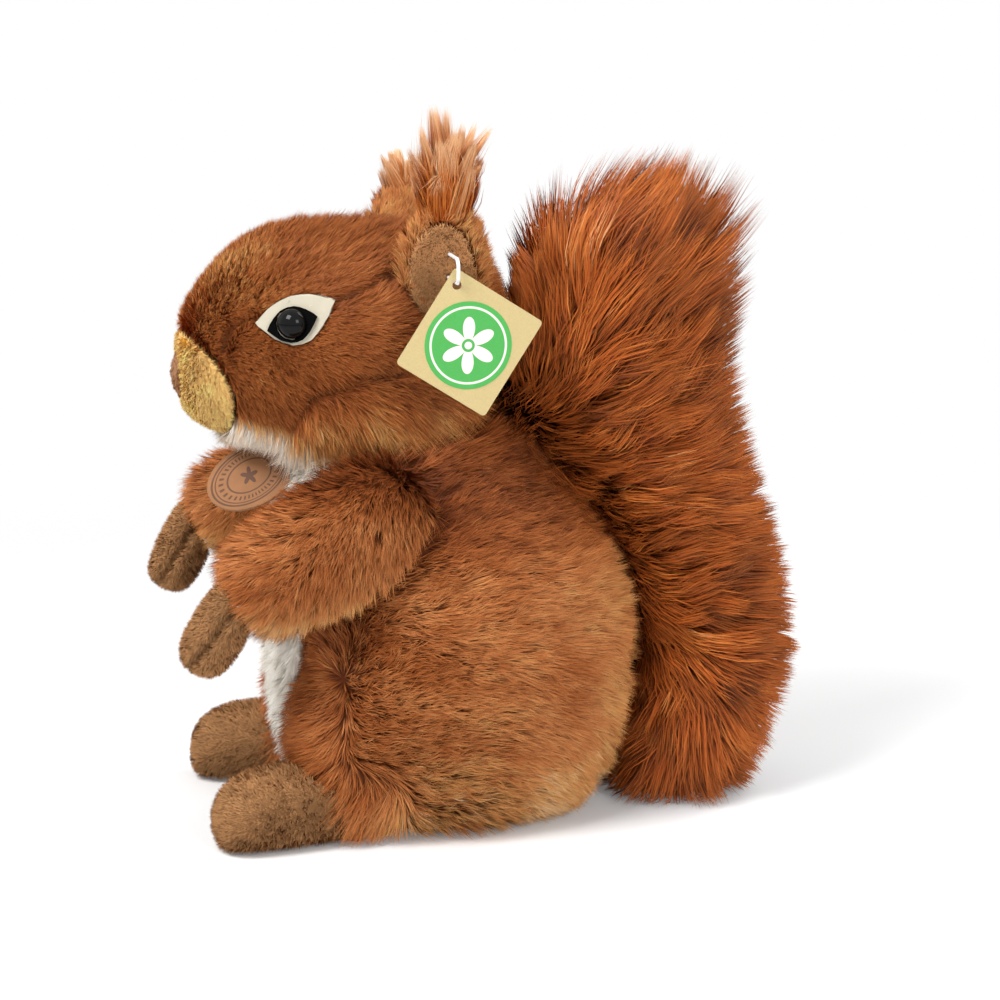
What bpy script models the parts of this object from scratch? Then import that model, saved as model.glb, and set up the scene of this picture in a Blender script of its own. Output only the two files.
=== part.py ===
"""Plush squirrel sitting upright with its tail up along its back.

It faces -Y, its left side is +X and it stands on z = 0, in metres. Each stuffed shape is
a loft of a few rings rounded by Subdivision Surface. A piece that rests on another one is
cut by that neighbour grown by GAP, so that it seats on it whatever the sizes are.
"""

import math

import bmesh
import bpy
from mathutils import Matrix, Vector

# The clearance between two pieces that touch
GAP = 0.0003

# How far a cutter reaches past the whole model, and past one skin
FAR = 0.4
PAST = 0.02

# Body
BODY_HEIGHT = 0.140
BODY_WIDTH = 0.120
BODY_DEPTH = 0.125
BODY_LEAN = -0.003
HAUNCH_LOBE = 0.065
PANEL_FORWARD = 0.021
PANEL_DEPTH = 0.004

# Head
HEAD_LENGTH = 0.108
HEAD_WIDTH = 0.077
HEAD_HEIGHT = 0.072
HEAD_BACK = 0.0145
NECK_SINK = 0.011
JOWL_LOBE = 0.16
MUZZLE_LENGTH = 0.0175
MUZZLE_HEIGHT = 0.041
MUZZLE_TILT = math.radians(24)
NOSE_WIDTH = 0.018
NOSE_HEIGHT = 0.019
NOSE_DEPTH = 0.013
NOSE_DROP = 0.0145
MUZZLE_DROP = 0.006

# Eyes
EYE_RADIUS = 0.0048
EYE_DOME = 0.0040
EYE_BACK = 0.0572
EYE_RISE = 0.0017
EYE_TURN = math.radians(27)
EYE_TILT = math.radians(6)
SHANK_RADIUS = 0.0016
SHANK_LENGTH = 0.0115
WASHER_RADIUS = 0.0060
WASHER_THICKNESS = 0.0015
WASHER_DEPTH = 0.0065
FELT_THICKNESS = 0.0008
PATCH_LENGTH = 0.0265
PATCH_ABOVE = 0.0052
PATCH_BELOW = 0.0108
PATCH_LIFT = 0.0037
PATCH_SLANT = math.radians(18)
LINER_LENGTH = 0.0168
LINER_ABOVE = 0.0004
LINER_BELOW = 0.0011

# Ears
EAR_HEIGHT = 0.038
EAR_WIDTH = 0.030
EAR_THICKNESS = 0.011
EAR_BACK = 0.0265
EAR_RISE = math.radians(13)
EAR_TURN = math.radians(14)
EAR_LEAN = math.radians(11)
EAR_SINK = 0.004
HOLLOW_RISE = 0.0185
HOLLOW_WIDTH = 0.0245
HOLLOW_HEIGHT = 0.0340
HOLLOW_DEPTH = 0.0042
LINING_THICKNESS = 0.0012
LEFT_TUFT_HEIGHT = 0.0385
RIGHT_TUFT_HEIGHT = 0.021
TUFT_WIDTH = 0.024
TUFT_THICKNESS = 0.010
TUFT_SINK = 0.007
TUFT_TWIST = math.radians(7)

# Arms and paws
SHOULDER_FORWARD = 0.030
SHOULDER_RISE = 0.111
ARM_LENGTH = 0.060
ARM_THICKNESS = 0.033
ARM_HEIGHT = 0.042
ARM_SINK = 0.016
ARM_OUT = math.radians(4)
LEFT_ARM_DROP = math.radians(27)
RIGHT_ARM_DROP = math.radians(20)
PAW_LENGTH = 0.039
PAW_WIDTH = 0.0205
PAW_THICKNESS = 0.019
PAW_DROP = math.radians(62)
PAW_LOWER = 0.003
PAW_TOE_IN = math.radians(12)
PAW_SINK = 0.014
GROOVE_LENGTH = 0.0436
GROOVE_RADIUS = 0.0008
GROOVE_RISE = 0.0015

# Feet
FOOT_LENGTH = 0.062
FOOT_WIDTH = 0.032
FOOT_HEIGHT = 0.029
FOOT_REACH = 0.0325
FOOT_INSET = 0.0175
FOOT_TOE_OUT = math.radians(12)
CREASE_DEPTH = 0.0035
CREASE_HEIGHT = 0.011
CREASE_SPREAD = 0.0052

# Tail
TAIL_HEIGHT = 0.2205
TAIL_DEPTH = 0.092
TAIL_WIDTH = 0.088
TAIL_SINK = 0.004
TAIL_SEAT_RISE = 0.045

# Card tag, its fastener and the leather badge
TAG_WIDTH = 0.0332
TAG_HEIGHT = 0.0351
TAG_THICKNESS = 0.0007
TAG_CORNER = 0.0012
TAG_SLANT = math.radians(-32.6)
TAG_HOLE_RADIUS = 0.0015
TAG_HOLE_SIDE = 0.0034
TAG_HOLE_DROP = 0.0044
TAG_STAND_OFF = 0.012
TAG_HANG = 0.0012
TAG_BACK = 0.0027
PRINT_RADIUS = 0.0139
PRINT_THICKNESS = 0.00012
PRINT_DROP = 0.0010
LOOP_RADIUS = 0.0006
LOOP_RISE = 0.0076
LOOP_BEYOND = 0.0028
LOOP_BEND = 0.0018
LOOP_SINK = 0.0060
BADGE_LENGTH = 0.032
BADGE_HEIGHT = 0.0205
BADGE_THICKNESS = 0.0018
BADGE_BEVEL = 0.0004
BADGE_TURN = math.radians(26)
BADGE_TILT = math.radians(22)
BADGE_SLANT = math.radians(28)
BADGE_RISE = 0.1235
BADGE_SIDE = 0.012
BADGE_SINK = 0.0015

# Mesh fineness
BODY_SIDES = 16
HEAD_SIDES = 14
LIMB_SIDES = 10
EAR_SIDES = 12
TAIL_SIDES = 14
TURNED_STEPS = 16

# Colours are linear RGB values
RUST = (0.330, 0.085, 0.022)
TAIL_RUST = (0.330, 0.060, 0.012)
CREAM = (0.800, 0.740, 0.640)
OCHRE = (0.560, 0.290, 0.075)
TAUPE = (0.120, 0.062, 0.030)
NOSE_BROWN = (0.180, 0.080, 0.040)
BLACK = (0.010, 0.010, 0.010)
WHITE = (0.850, 0.850, 0.830)
CARD = (0.620, 0.500, 0.320)
GREEN = (0.060, 0.400, 0.070)
LEATHER = (0.350, 0.170, 0.080)
NYLON = (0.700, 0.700, 0.700)

SIDES = {"left": 1, "right": -1}


def clear_scene():
    for old in list(bpy.data.objects):
        bpy.data.objects.remove(old, do_unlink=True)


def make_collection(name):
    collection = bpy.data.collections.new(name)
    bpy.context.scene.collection.children.link(collection)
    return collection


def new_object(name, mesh, collection):
    obj = bpy.data.objects.new(name, mesh)
    collection.objects.link(obj)
    return obj


def mesh_from(bm, name):
    """A mesh of this bmesh, with its faces turned outwards and shaded smooth."""
    bmesh.ops.recalc_face_normals(bm, faces=bm.faces)
    mesh = bpy.data.meshes.new(name)
    bm.to_mesh(mesh)
    bm.free()
    mesh.shade_smooth()
    mesh.set_sharp_from_angle(angle=math.radians(50))
    return mesh


def paint(obj, colour, roughness):
    material = bpy.data.materials.new(obj.name)
    material.use_nodes = True
    shader = material.node_tree.nodes["Principled BSDF"]
    shader.inputs["Base Color"].default_value = (*colour, 1)
    shader.inputs["Roughness"].default_value = roughness
    shader.inputs["Metallic"].default_value = 0
    obj.data.materials.append(material)
    return obj


def subdivide(obj, levels):
    modifier = obj.modifiers.new("round", "SUBSURF")
    modifier.levels = levels
    modifier.render_levels = levels


def join_or_cut(obj, other, operation):
    modifier = obj.modifiers.new(other.name, "BOOLEAN")
    modifier.operation = operation
    modifier.object = other
    modifier.solver = "EXACT"
    return modifier


def cut(obj, *others):
    for other in others:
        join_or_cut(obj, other, "DIFFERENCE")


def keep_inside(obj, other):
    join_or_cut(obj, other, "INTERSECT")


def ring_points(centre, side, rise, count, lobe=0.0):
    """A ring in the plane of side and rise, made larger by what rounding takes off it.

    A positive lobe bulges the two corners on the side that rise points to.
    """
    kept = (4 + 2 * math.cos(2 * math.pi / count)) / 6
    points = []
    for index in range(count):
        angle = 2 * math.pi * index / count
        bulge = 1.0
        if math.sin(angle) > 0:
            bulge -= lobe * math.cos(4 * angle)
        offset = side * math.cos(angle) + rise * math.sin(angle)
        points.append(centre + offset * bulge / kept)
    return points


def loft(name, rings, collection):
    """A closed skin over rings of equal count, rounded by Subdivision Surface."""
    bm = bmesh.new()
    rows = [[bm.verts.new(point) for point in ring] for ring in rings]
    for low, high in zip(rows, rows[1:]):
        for index in range(len(low)):
            following = (index + 1) % len(low)
            bm.faces.new((low[index], low[following], high[following], high[index]))
    bm.faces.new(reversed(rows[0]))
    bm.faces.new(rows[-1])
    obj = new_object(name, mesh_from(bm, name), collection)
    subdivide(obj, 1)
    return obj


def ellipsoid(name, radii, collection, segments=24, rings=12):
    bm = bmesh.new()
    bmesh.ops.create_uvsphere(bm, u_segments=segments, v_segments=rings, radius=1)
    bmesh.ops.scale(bm, verts=bm.verts, vec=radii)
    return new_object(name, mesh_from(bm, name), collection)


def turned(name, profile, closed, collection):
    """A shape turned about its own Z, from a profile that runs down its outer side."""
    bm = bmesh.new()
    points = [bm.verts.new((radius, 0, height)) for radius, height in profile]
    for start, end in zip(points, points[1:]):
        bm.edges.new((start, end))
    if closed:
        bm.edges.new((points[-1], points[0]))
    mesh = bpy.data.meshes.new(name)
    bm.to_mesh(mesh)
    bm.free()
    obj = new_object(name, mesh, collection)
    screw = obj.modifiers.new("turn", "SCREW")
    screw.steps = TURNED_STEPS
    screw.render_steps = TURNED_STEPS
    screw.use_merge_vertices = True
    screw.merge_threshold = 0.00001
    screw.use_smooth_shade = True
    return obj


def outline_plate(name, outlines, thickness, collection, bevel=0.0):
    """A flat plate of the given outlines, in its own XY plane, made a mesh."""
    curve = bpy.data.curves.new(name, "CURVE")
    curve.dimensions = "2D"
    curve.fill_mode = "BOTH"
    curve.extrude = thickness / 2 - bevel
    curve.bevel_depth = bevel
    curve.bevel_resolution = 1
    for points in outlines:
        spline = curve.splines.new("POLY")
        spline.points.add(len(points) - 1)
        for point, (x, y) in zip(spline.points, points):
            point.co = (x, y, 0, 1)
        spline.use_cyclic_u = True
    return mesh_of_curve(name, curve, collection)


def mesh_of_curve(name, curve, collection):
    source = new_object(name + "_outline", curve, collection)
    bpy.context.view_layer.update()
    evaluated = source.evaluated_get(bpy.context.evaluated_depsgraph_get())
    mesh = bpy.data.meshes.new_from_object(evaluated)
    bm = bmesh.new()
    bm.from_mesh(mesh)
    bmesh.ops.remove_doubles(bm, verts=bm.verts, dist=0.000005)
    bmesh.ops.recalc_face_normals(bm, faces=bm.faces)
    bm.to_mesh(mesh)
    bm.free()
    obj = new_object(name, mesh, collection)
    obj.matrix_world = source.matrix_world
    bpy.data.objects.remove(source, do_unlink=True)
    return obj


def circle(radius, count, centre=(0, 0)):
    turn = [2 * math.pi * index / count for index in range(count)]
    return [(centre[0] + radius * math.cos(a), centre[1] + radius * math.sin(a)) for a in turn]


def oval(length, height, count=32):
    return [(x * length / 2, y * height / 2) for x, y in circle(1, count)]


def almond(length, above, below, count=28):
    """An eye outline: two arcs between its corners, one above their line and one below it."""
    points = []
    for index in range(count):
        angle = 2 * math.pi * index / count
        height = above if math.sin(angle) > 0 else below
        arc = math.sin(angle) * abs(math.sin(angle))
        points.append((length / 2 * math.cos(angle), height * arc))
    return points


def rounded_rectangle(width, height, radius, steps=3):
    points = []
    for corner, (across, up) in enumerate(((1, 1), (-1, 1), (-1, -1), (1, -1))):
        for step in range(steps + 1):
            angle = math.pi / 2 * (corner + step / steps)
            x = across * (width / 2 - radius) + radius * math.cos(angle)
            y = up * (height / 2 - radius) + radius * math.sin(angle)
            points.append((x, y))
    return points


def grown(form, distance, cutters, suffix="clearance"):
    """A cutter that has this form's skin moved out along its normals."""
    copy = new_object(f"{form.name}_{suffix}", form.data.copy(), cutters)
    copy.matrix_basis = form.matrix_basis
    for source in form.modifiers:
        if source.type == "SUBSURF":
            subdivide(copy, source.levels)
    swell = copy.modifiers.new("grow", "DISPLACE")
    swell.mid_level = 0
    swell.strength = distance
    return copy


def surface_point(form, start, direction):
    """Where a straight line from inside the form leaves its skin."""
    bpy.context.view_layer.update()
    solid = form.evaluated_get(bpy.context.evaluated_depsgraph_get())
    inverse = form.matrix_world.inverted()
    way = (inverse.to_3x3() @ Vector(direction)).normalized()
    struck, point, _, _ = solid.ray_cast(inverse @ Vector(start), way)
    if not struck:
        raise ValueError(f"no skin of {form.name} lies that way")
    return form.matrix_world @ point


def aimed(place, facing, up=(0, 0, 1)):
    """A matrix whose Z faces that way and whose Y is as near to up as it can be."""
    z = Vector(facing).normalized()
    x = Vector(up).cross(z).normalized()
    y = z.cross(x)
    turn = Matrix((x, y, z)).transposed().to_4x4()
    return Matrix.Translation(Vector(place)) @ turn


def make_ground(cutters):
    """Everything below the plane that the squirrel sits on."""
    bm = bmesh.new()
    bmesh.ops.create_cube(bm, size=1)
    bmesh.ops.scale(bm, verts=bm.verts, vec=(FAR, FAR, FAR))
    bmesh.ops.translate(bm, verts=bm.verts, vec=(0, 0, -FAR / 2))
    return new_object("ground", mesh_from(bm, "ground"), cutters)


def body_form(name, collection):
    """The torso and haunches: (height, middle, width, depth, haunch) as shares."""
    shape = (
        (-0.13, -0.07, 0.50, 0.54, 3.0),
        (0.06, -0.03, 0.89, 0.93, 3.0),
        (0.32, -0.03, 0.99, 1.06, 2.6),
        (0.56, 0.00, 0.98, 0.98, 0.9),
        (0.75, -0.06, 0.80, 0.83, 0.0),
        (0.90, -0.125, 0.66, 0.72, 0.0),
        (1.00, -0.10, 0.40, 0.42, 0.0),
    )
    rings = []
    for height, middle, width, depth, haunch in shape:
        centre = Vector((0, BODY_LEAN + middle * BODY_DEPTH, height * BODY_HEIGHT))
        side = Vector((width * BODY_WIDTH / 2, 0, 0))
        front = Vector((0, -depth * BODY_DEPTH / 2, 0))
        rings.append(ring_points(centre, side, front, BODY_SIDES, haunch * HAUNCH_LOBE))
    return loft(name, rings, collection)


def head_form(name, collection):
    """The head from its back to the snout: (way forward, rise, width, height) as shares."""
    shape = (
        (0.00, 0.02, 0.42, 0.42),
        (0.10, -0.03, 0.80, 0.90),
        (0.31, -0.07, 1.02, 1.13),
        (0.53, -0.06, 1.01, 1.12),
        (0.72, -0.015, 0.84, 1.01),
        (0.87, -0.085, 0.60, 0.83),
        (0.965, -0.14, 0.42, 0.55),
        (1.00, -0.15, 0.24, 0.33),
    )
    middle = head_middle()
    rings = []
    for forward, rise, width, height in shape:
        centre = Vector((0, HEAD_BACK - forward * HEAD_LENGTH, middle + rise * HEAD_HEIGHT))
        side = Vector((width * HEAD_WIDTH / 2, 0, 0))
        down = Vector((0, 0, -height * HEAD_HEIGHT / 2))
        rings.append(ring_points(centre, side, down, HEAD_SIDES, JOWL_LOBE * width))
    return loft(name, rings, collection)


def head_middle():
    return BODY_HEIGHT - NECK_SINK + HEAD_HEIGHT / 2


def panel_volume(name, body, margin, depth, cutters):
    """The upright strip down the front of the body: (half width, height) as shares."""
    shape = ((0.13, -0.15), (0.17, 0.20), (0.22, 0.42), (0.22, 0.80), (0.19, 1.10))
    right = [(half * BODY_WIDTH + margin, height * BODY_HEIGHT) for half, height in shape]
    left = [(-across, height) for across, height in reversed(right)]
    strip = outline_plate(name, [right + left], FAR, cutters)
    stand = Matrix.Rotation(math.radians(90), 4, "X")
    strip.matrix_basis = Matrix.Translation((0, -FAR / 2 - PANEL_FORWARD, 0)) @ stand
    cut(strip, grown(body, -depth, cutters, name + "_core"))
    return strip


def make_body(parts, cutters, head_clearance, ground):
    """The body with its white panel let into the front."""
    form = body_form("body_form", cutters)
    body = body_form("body", parts)
    panel = body_form("belly_panel", parts)
    slot = panel_volume("panel_slot", form, GAP, PANEL_DEPTH + GAP, cutters)
    strip = panel_volume("panel_strip", form, 0, PANEL_DEPTH, cutters)
    cut(body, ground, head_clearance, slot)
    keep_inside(panel, strip)
    cut(panel, ground, head_clearance)
    paint(body, RUST, 0.9)
    paint(panel, CREAM, 0.9)
    return form


def make_muzzle(head, parts, cutters):
    """The ochre snout panel, and the place for it in the head."""
    tip = surface_point(head, (0, 0, head_middle() - NOSE_DROP), (0, -1, 0))
    radii = (HEAD_WIDTH / 2, MUZZLE_LENGTH, MUZZLE_HEIGHT / 2)
    ball = ellipsoid("muzzle_ball", radii, cutters)
    ball.location = tip + Vector((0, 0, -MUZZLE_DROP))
    ball.rotation_euler.x = MUZZLE_TILT
    muzzle = head_form("muzzle", parts)
    keep_inside(muzzle, ball)
    paint(muzzle, OCHRE, 0.9)
    cut(head, grown(ball, GAP, cutters))
    return tip


def make_nose(tip, snout, parts):
    nose = ellipsoid("nose", (NOSE_WIDTH / 2, NOSE_DEPTH / 2, NOSE_HEIGHT / 2), parts, 16, 10)
    nose.location = tip + Vector((0, NOSE_DEPTH / 4, 0))
    cut(nose, snout)
    paint(nose, NOSE_BROWN, 0.85)


def eye_axis(side):
    turn = Vector((math.cos(EYE_TURN), -math.sin(EYE_TURN), math.tan(EYE_TILT)))
    return Vector((side * turn.x, turn.y, turn.z)).normalized()


def dome_profile():
    """A domed button on a shank, from its crown down."""
    steps = 6
    arc = [math.pi / 2 * step / steps for step in range(steps + 1)]
    crown = [(EYE_RADIUS * math.sin(a), EYE_DOME * math.cos(a)) for a in arc]
    return crown + [(SHANK_RADIUS, 0), (SHANK_RADIUS, -SHANK_LENGTH), (0, -SHANK_LENGTH)]


def bore_profile():
    """The dome's nest, the shank's hole and the pocket that the washer lies in."""
    nest = EYE_RADIUS + GAP
    hole = SHANK_RADIUS + GAP
    pocket = WASHER_RADIUS + GAP
    top = -WASHER_DEPTH + GAP
    foot = -WASHER_DEPTH - WASHER_THICKNESS - GAP
    end = -SHANK_LENGTH - GAP
    return [(0, PAST), (nest, PAST), (nest, -GAP), (hole, -GAP), (hole, top),
            (pocket, top), (pocket, foot), (hole, foot), (hole, end), (0, end)]


def washer_profile():
    outer = WASHER_RADIUS
    inner = SHANK_RADIUS + GAP
    top = -WASHER_DEPTH
    foot = top - WASHER_THICKNESS
    return [(outer, top), (outer, foot), (inner, foot), (inner, top)]


def felt_piece(name, head, layer, outline, place, parts, cutters):
    """A felt almond that follows the head's skin, on its own layer above it."""
    low = GAP + layer * (FELT_THICKNESS + GAP)
    piece = grown(head, low + FELT_THICKNESS, parts)
    piece.name = name
    prism = outline_plate(name + "_outline", [outline], PAST, cutters)
    prism.matrix_world = place
    keep_inside(piece, prism)
    cut(piece, grown(head, low, cutters, name + "_under"))
    return piece


def make_eye(label, side, head, form, parts, cutters):
    """A safety eye, its felts and its washer, all on one axis through the head's skin."""
    axis = eye_axis(side)
    start = Vector((0, HEAD_BACK - EYE_BACK, head_middle() + EYE_RISE))
    seat = surface_point(form, start, axis)
    place = aimed(seat, axis)
    lifted = aimed(seat + axis * (2 * FELT_THICKNESS), axis)

    eye = turned(f"{label}_eye", dome_profile(), False, parts)
    washer = turned(f"{label}_eye_washer", washer_profile(), True, parts)
    bore = turned(f"{label}_eye_bore", bore_profile(), False, cutters)
    for piece in (eye, washer, bore):
        piece.matrix_world = lifted
    slant = Matrix.Rotation(side * PATCH_SLANT, 4, "Z")
    lift = Matrix.Translation((0, PATCH_LIFT, 0))
    patch = felt_piece(f"{label}_eye_patch", form, 0, almond(PATCH_LENGTH, PATCH_ABOVE, PATCH_BELOW),
                       place @ lift @ slant, parts, cutters)
    nest = EYE_RADIUS + GAP
    liner = felt_piece(f"{label}_eye_liner", form, 1,
                       almond(LINER_LENGTH, nest + LINER_ABOVE, nest + LINER_BELOW),
                       place @ slant, parts, cutters)
    for piece in (head, patch, liner):
        cut(piece, bore)
    paint(eye, BLACK, 0.08)
    paint(washer, WHITE, 0.4)
    paint(patch, CREAM, 0.95)
    paint(liner, BLACK, 0.95)


def ear_frame(side, form):
    """The ear's root on the head, and its facing, across and up directions."""
    start = Vector((0, HEAD_BACK - EAR_BACK, head_middle()))
    root = surface_point(form, start, (side * math.cos(EAR_RISE), 0, math.sin(EAR_RISE)))
    up = Vector((side * math.sin(EAR_LEAN), 0, math.cos(EAR_LEAN)))
    facing = Vector((side * math.cos(EAR_TURN), -math.sin(EAR_TURN), 0))
    across = up.cross(facing).normalized()
    facing = across.cross(up).normalized()
    return root - up * EAR_SINK, facing, across, up


def leaf_rings(root, facing, across, up, height, width, thickness, shape):
    rings = []
    for rise, wide, thick in shape:
        centre = root + up * (rise * height)
        side = across * (wide * width / 2)
        front = facing * (thick * thickness / 2)
        rings.append(ring_points(centre, side, front, EAR_SIDES))
    return rings


def make_ear(label, side, form, head_clearance, parts, cutters):
    """An ear with a hollow front, the lining in its hollow and the tuft on its top."""
    root, facing, across, up = ear_frame(side, form)
    leaf = ((0.00, 0.80, 0.9), (0.30, 1.00, 1.0), (0.62, 0.98, 1.0), (0.90, 0.72, 0.85),
            (1.00, 0.38, 0.5))
    flame = ((0.00, 0.66, 0.6), (0.30, 0.84, 1.0), (0.70, 0.95, 0.8), (1.00, 0.70, 0.3))
    rings = leaf_rings(root, facing, across, up, EAR_HEIGHT, EAR_WIDTH, EAR_THICKNESS, leaf)
    ear = loft(f"{label}_ear", rings, parts)
    lining = loft(f"{label}_ear_lining", rings, parts)
    ear_clearance = grown(ear, GAP, cutters)

    middle = root + up * HOLLOW_RISE + facing * (EAR_THICKNESS / 2)
    turn = Matrix((across, up, facing)).transposed().to_4x4()
    for depth, target, action in ((0, ear, "DIFFERENCE"), (GAP, lining, "INTERSECT"),
                                  (GAP + LINING_THICKNESS, lining, "DIFFERENCE")):
        radii = (HOLLOW_WIDTH / 2 - depth, HOLLOW_HEIGHT / 2 - depth, HOLLOW_DEPTH - depth)
        hollow = ellipsoid(f"{target.name}_hollow_{action.lower()}", radii, cutters, 20, 10)
        hollow.matrix_world = Matrix.Translation(middle) @ turn
        join_or_cut(target, hollow, action)
    cut(ear, head_clearance)
    cut(lining, head_clearance)

    crown = root + up * (EAR_HEIGHT - TUFT_SINK)
    twist = Matrix.Rotation(TUFT_TWIST, 3, up)
    height = LEFT_TUFT_HEIGHT if side > 0 else RIGHT_TUFT_HEIGHT
    rings = leaf_rings(crown, twist @ facing, twist @ across, up, height, TUFT_WIDTH,
                       TUFT_THICKNESS, flame)
    tuft = loft(f"{label}_ear_tuft", rings, parts)
    cut(tuft, ear_clearance)
    paint(ear, RUST, 0.9)
    paint(lining, TAUPE, 0.9)
    paint(tuft, TAIL_RUST, 0.9)
    return ear, lining, middle


def make_tag(middle, ear, lining, parts, cutters):
    """The card tag and the thin fastener that holds it to the left ear."""
    hang = middle + Vector((0, TAG_BACK, -TAG_HANG))
    hole = Vector((hang.x + TAG_STAND_OFF, hang.y, hang.z))
    inner = hang.x - LOOP_SINK
    outer = hole.x + LOOP_BEYOND
    top = hole.z + LOOP_RISE
    runs = (
        (inner, hole.z),
        (outer - LOOP_BEND, hole.z),
        (outer, hole.z + LOOP_BEND),
        (outer, top - LOOP_BEND),
        (outer - LOOP_BEND, top),
        (inner, top),
    )
    curve = bpy.data.curves.new("tag_loop", "CURVE")
    curve.dimensions = "3D"
    curve.bevel_depth = LOOP_RADIUS
    curve.bevel_resolution = 2
    curve.use_fill_caps = True
    spline = curve.splines.new("POLY")
    spline.points.add(len(runs) - 1)
    for point, (out, up) in zip(spline.points, runs):
        point.co = (out, hole.y, up, 1)
    loop = mesh_of_curve("tag_loop", curve, parts)
    clearance = grown(loop, GAP, cutters)
    cut(ear, clearance)
    cut(lining, clearance)
    paint(loop, NYLON, 0.35)

    slack = TAG_HOLE_RADIUS - LOOP_RADIUS - GAP
    left = -TAG_WIDTH / 2 + TAG_HOLE_SIDE
    top = TAG_HEIGHT / 2 - TAG_HOLE_DROP
    rim = circle(TAG_HOLE_RADIUS, 16, (left, top))
    card = outline_plate("hang_tag", [rounded_rectangle(TAG_WIDTH, TAG_HEIGHT, TAG_CORNER), rim],
                         TAG_THICKNESS, parts)
    disc = outline_plate("tag_disc", [circle(PRINT_RADIUS, 40)],
                         TAG_THICKNESS / 2 + PRINT_THICKNESS, cutters)
    turn = Matrix.Rotation(math.radians(90), 4, "Z") @ Matrix.Rotation(math.radians(90), 4, "X")
    slant = Matrix.Rotation(TAG_SLANT, 4, "Z")
    shift = Matrix.Translation((-left, -top, 0))
    seat = Matrix.Translation(hole - Vector((0, 0, slack)))
    card.matrix_basis = seat @ turn @ slant @ shift
    lift = Matrix.Translation((0, -PRINT_DROP, (TAG_THICKNESS / 2 + PRINT_THICKNESS) / 2))
    disc.matrix_basis = card.matrix_basis @ lift
    paint(card, CARD, 0.7)
    paint(disc, GREEN, 0.6)
    join_or_cut(card, disc, "UNION").material_mode = "TRANSFER"


def make_badge(form, clearances, parts):
    """The oval leather badge, sewn to the chest at its upper end."""
    start = Vector((BADGE_SIDE, 0, BADGE_RISE))
    seat = surface_point(form, start, (0, -1, 0))
    level = math.cos(BADGE_TILT)
    facing = Vector((level * math.cos(BADGE_TURN), -level * math.sin(BADGE_TURN),
                     math.sin(BADGE_TILT)))
    badge = outline_plate("badge", [oval(BADGE_LENGTH, BADGE_HEIGHT)],
                          BADGE_THICKNESS, parts, BADGE_BEVEL)
    slant = Matrix.Rotation(BADGE_SLANT, 4, "Z")
    shift = Matrix.Translation((-BADGE_LENGTH / 2 + BADGE_SINK, 0, 0))
    badge.matrix_basis = aimed(seat, facing) @ slant @ shift
    cut(badge, *clearances)
    paint(badge, LEATHER, 0.6)


def tube_rings(points):
    """Rings square to a bent path, each (centre, half height, half thickness)."""
    rings = []
    for index, (centre, height, thickness) in enumerate(points):
        before = points[max(index - 1, 0)][0]
        after = points[min(index + 1, len(points) - 1)][0]
        along = (after - before).normalized()
        across = Vector((0, 0, 1)).cross(along).normalized()
        rise = along.cross(across)
        rings.append(ring_points(centre, across * thickness, rise * height, LIMB_SIDES))
    return rings


def groove_ring(name, length, width, cutters):
    """A thin oval ring that presses a groove where it meets a skin."""
    curve = bpy.data.curves.new(name, "CURVE")
    curve.dimensions = "3D"
    curve.bevel_depth = GROOVE_RADIUS
    curve.bevel_resolution = 1
    spline = curve.splines.new("POLY")
    points = circle(1, 28)
    spline.points.add(len(points) - 1)
    for point, (x, y) in zip(spline.points, points):
        point.co = (x * width, y * length, 0, 1)
    spline.use_cyclic_u = True
    return mesh_of_curve(name, curve, cutters)


def make_arm(label, side, form, clearances, parts, cutters):
    """A stuffed sleeve and the paw that is sewn into its end."""
    drop = LEFT_ARM_DROP if side > 0 else RIGHT_ARM_DROP
    seat = surface_point(form, (0, -SHOULDER_FORWARD, SHOULDER_RISE), (side, 0, 0))
    shoulder = seat + Vector((side * (ARM_THICKNESS / 2 - ARM_SINK), 0, 0))
    way = Vector((side * math.sin(ARM_OUT), -math.cos(drop), -math.sin(drop)))
    shape = ((-0.28, 0.62, 0.55), (0.05, 1.12, 0.85), (0.45, 1.02, 1.0), (0.80, 0.90, 1.0),
             (0.98, 0.66, 0.74))
    sleeve = [(shoulder + way * (along * ARM_LENGTH), high * ARM_HEIGHT / 2,
               thick * ARM_THICKNESS / 2) for along, high, thick in shape]
    arm = loft(f"{label}_arm", tube_rings(sleeve), parts)
    arm_clearance = grown(arm, GAP, cutters)
    cut(arm, *clearances)

    cuff = shoulder + way * ARM_LENGTH - Vector((0, 0, PAW_LOWER))
    point = Vector((-side * math.sin(PAW_TOE_IN), -math.cos(PAW_DROP), -math.sin(PAW_DROP)))
    point.normalize()
    shape = ((0.0, 0.80, 0.85), (0.40, 1.00, 1.00), (0.75, 1.02, 1.00), (0.97, 0.66, 0.7))
    hand = [(cuff + point * (along * PAW_LENGTH - PAW_SINK), wide * PAW_WIDTH / 2,
             thick * PAW_THICKNESS / 2) for along, wide, thick in shape]
    paw = loft(f"{label}_paw", tube_rings(hand), parts)
    cut(paw, arm_clearance, *clearances)
    rise = point.cross(Vector((side, 0, 0))).normalized() * side
    groove = groove_ring(f"{label}_finger_groove", GROOVE_LENGTH / 2, PAW_THICKNESS / 2, cutters)
    groove.matrix_basis = aimed(cuff + rise * GROOVE_RISE, rise, point)
    cut(paw, groove)
    paint(arm, RUST, 0.9)
    paint(paw, TAUPE, 0.9)


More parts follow.
